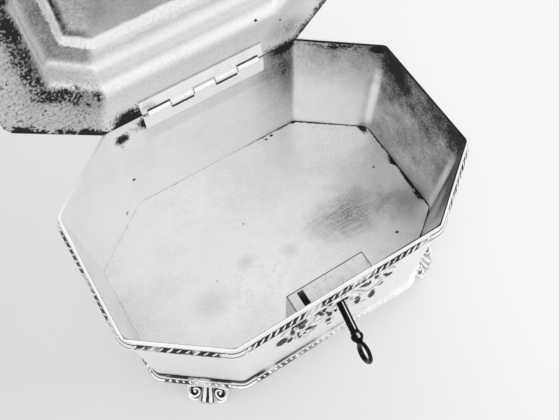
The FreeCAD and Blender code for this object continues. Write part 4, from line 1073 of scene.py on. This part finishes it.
def key_point(side, up, out):
    return key_start + key_side * side + key_up * up + key_out * out


def share_along(point, direction):
    """How far a point lies from the keyhole along a direction."""
    away = point.sheet.vector("SUBTRACT", point, tuple(key_start))
    return point.sheet.vector("DOT_PRODUCT", away, tuple(direction), "Value")


iron, p = blank_finish("blackened_iron")
mid, fine = cloud(p, 2.4, 4.0, 0.65), cloud(p, 0.5, 3.0, 0.7)
aside, above, along = (share_along(p, way) for way in (key_side, key_up, key_out))
ragged = 0.16 * (fine - 0.5)
painted_highlight_stripe = step(abs(aside - 0.22 * above + ragged), 0.3, 0.14) * step(above, 0.6, 1.0)
painted_highlight_stripe = painted_highlight_stripe * step(abs(along - 7.6), 6.4, 5.6)
glint = step(abs(aside - 0.1 * above + 3.0 * ragged), 0.7, 0.3) * step(above, 0.8, 1.2)
glint = glint * step(abs(along - 16.4), 1.3, 0.7)
# worn holds the painted highlights of the stripe and glint, and a few real bright specks.
worn = painted_highlight_stripe + glint * 0.7 + step(fine + 0.5 * mid, 0.9, 1.0) * 0.25
metal("blackened_iron", (0.9, 0.9, 0.9, 1.0), 1.0 - worn.min(1.0), 0.2 + 0.12 * mid, fine, 0.008, 0.0,
      (0.003, 0.003, 0.003, 1.0), 0.1)

# %% [markdown]
# The key's turned part is a profile spun about its axis: the bore that slides over the drill
# pin, the pipe shank, a bead, a baluster and a thin neck. Its upright oval bow is a rod swept
# round an oval, a little thinner at the top.
# %% The key's shank and bow
BORE = 0.96
KEY_SIDES, BOW_POINTS = 40, 56
profile = [(1.5, BORE), (-7.6, BORE), (-7.6, 1.72), (-7.4, 1.8), (14.1, 1.8), (14.3, 1.84), (14.5, 2.02),
           (14.75, 2.08), (15.0, 1.98), (15.1, 1.86), (15.4, 2.1), (15.9, 2.5), (16.5, 2.65), (17.1, 2.6),
           (17.8, 2.3), (18.5, 1.8), (19.1, 1.4), (19.6, 1.12), (20.3, 1.02)]
spun = [key_point(radius * math.cos(turn), radius * math.sin(turn), out)
        for out, radius in profile for turn in circle(KEY_SIDES)]
lump = Lump()
lump.add(spun, skin(len(profile), KEY_SIDES), [0.0] * len(spun))
twist = math.radians(1.5)
bow, thickness = [], []
for turn in circle(BOW_POINTS):
    up, out = 6.2 * math.sin(turn), 23.6 - 4.0 * math.cos(turn)
    bow.append(key_point(up * math.sin(twist), up * math.cos(twist), out))
    thickness.append(0.98 - 0.14 * math.sin(turn))
rod(lump, bow, thickness, 14, True)
key = piece("key_iron", lump.points, lump.faces, iron)
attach(key, "key")
print("key_iron faces", len(key.data.polygons))

# %% [markdown]
# The turned key stands for the whole CAD key, so it also needs the flat bit that turns in
# the lock. It is a plate with bevelled edges, with a notch for the ring ward.
# %% The key's bit
BIT_HALF = 0.8
outline = [(-0.4, -0.8), (-0.4, -4.3), (-0.4, -6.6), (-2.7, -6.75), (-5.0, -6.75), (-5.1, -5.15),
           (-4.3, -5.15), (-4.3, -4.2), (-5.1, -4.2), (-5.1, -0.8)]
points = [key_point(side, up, out - 1.2) for side in (-BIT_HALF, BIT_HALF) for out, up in outline]
bit = piece("key_bit", points, skin(2, len(outline)), iron)
bevel = bit.modifiers.new("edges", "BEVEL")
bevel.width = 0.12 * MM
bevel.segments = 2
bit.data.polygons.foreach_set("use_smooth", [False] * len(bit.data.polygons))
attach(bit, "key")
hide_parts("key")
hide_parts("key")
print("bit faces", len(bit.data.polygons))

# %% [markdown]
# The table is a large sheet of paper. Camera and glossy rays see its lit surface mixed with
# a plain grey glow of the same tint, so that it is pale and even but keeps the box's soft
# shadow, also where the silver mirrors it. The tint grows lighter from left to right: a painted
# falloff of the light.
# %% The table
GLOW_SHARE = 0.45
table_mesh = bpy.data.meshes.new("table")
table_mesh.from_pydata([(-3, -3, 0), (3, -3, 0), (3, 3, 0), (-3, 3, 0)], [], [(0, 1, 2, 3)])
table = bpy.data.objects.new("table", table_mesh)
bpy.context.scene.collection.objects.link(table)
table.location.z = -0.0002
table_paper, p = blank_finish("table_paper")
s = p.sheet
x, y, z = parts_of(p)
# Painted light falloff: the tint is darker at the left.
painted_light_falloff = step(x * 0.9 + y * 0.1, -190.0, 130.0)
tint = s.node("ShaderNodeMix", {"data_type": "RGBA"},
              {0: painted_light_falloff, 6: (0.68, 0.68, 0.68, 1.0), 7: (0.88, 0.88, 0.88, 1.0)}, 2)
lit = s.node("ShaderNodeBsdfDiffuse", None, {"Color": tint})
glow = s.node("ShaderNodeEmission", None, {"Color": tint, "Strength": 1.0})
rays = [s.node("ShaderNodeLightPath", None, None, name) for name in ("Is Camera Ray", "Is Glossy Ray")]
surface = s.node("ShaderNodeMixShader", None, {0: rays[0].max(rays[1]) * GLOW_SHARE, 1: lit, 2: glow})
s.node("ShaderNodeOutputMaterial", None, {"Surface": surface})
table_mesh.materials.append(table_paper)
print("table finish nodes", len(s.tree.nodes))

# %% [markdown]
# Silver shows what stands round it. A plain white world gives the bright, flat look of a
# product photograph on white. Two soft lamps shape it: a broad one over the left front and
# a narrow one over the right front.
# %% World and lamps
world = bpy.data.worlds.new("studio")
bpy.context.scene.world = world
world.use_nodes = True
world.node_tree.nodes.clear()
w = Sheet(world.node_tree)
sky = w.node("ShaderNodeBackground", None, {"Color": (1.0, 1.0, 1.0, 1.0), "Strength": 1.0})
w.node("ShaderNodeOutputWorld", None, {"Surface": sky})


def lamp(name, place, target, size, power):
    light = bpy.data.lights.new(name, "AREA")
    light.size = size
    light.energy = power
    made = bpy.data.objects.new(name, light)
    bpy.context.scene.collection.objects.link(made)
    made.location = place
    made.rotation_euler = (Vector(target) - Vector(place)).to_track_quat("-Z", "Y").to_euler()


lamp("broad_lamp", (-0.5, -0.3, 0.9), (0.0, 0.0, 0.04), 0.7, 1.1)
lamp("narrow_lamp", (0.7, -0.5, 0.55), (0.0, -0.07, 0.06), 0.12, 1.0)

# %% [markdown]
# The camera's place was worked out from the photograph: the eight rim corners and the floor's
# edge were matched by turning, moving and zooming a pinhole camera. The three angles and
# the shift found there are turned into Blender's camera matrix, whose columns are the
# camera's right, its up and the direction behind it.
# %% Camera
AZIMUTH, ELEVATION, ROLL = (math.radians(v) for v in (-31.401, 65.130, -0.518))
SHIFT_X, SHIFT_Y, DISTANCE = 4.798, -13.233, 277.773
FOCAL_PIXELS, PICTURE_WIDTH = 677.321, 559

behind = Vector((math.sin(AZIMUTH), -math.cos(AZIMUTH), 0.0)) * math.cos(ELEVATION)
behind.z = math.sin(ELEVATION)
level_right = Vector((0.0, 0.0, 1.0)).cross(behind).normalized()
level_up = behind.cross(level_right)
right = level_right * math.cos(ROLL) + level_up * math.sin(ROLL)
upward = level_up * math.cos(ROLL) - level_right * math.sin(ROLL)
eye = right * SHIFT_X + upward * SHIFT_Y + behind * DISTANCE + Vector((0.0, 0.0, RIM))
lens = bpy.data.cameras.new("camera")
lens.sensor_width = 36.0
lens.sensor_fit = "HORIZONTAL"
lens.lens = FOCAL_PIXELS / PICTURE_WIDTH * lens.sensor_width
lens.clip_start = 0.01
camera = bpy.data.objects.new("camera", lens)
bpy.context.scene.collection.objects.link(camera)
camera.matrix_world = Matrix.Translation(eye * MM) @ Matrix((right, upward, behind)).transposed().to_4x4()
bpy.context.scene.camera = camera
bpy.context.scene.view_settings.view_transform = "Standard"
print("camera at", [round(v, 4) for v in camera.location], "lens", round(lens.lens, 2))
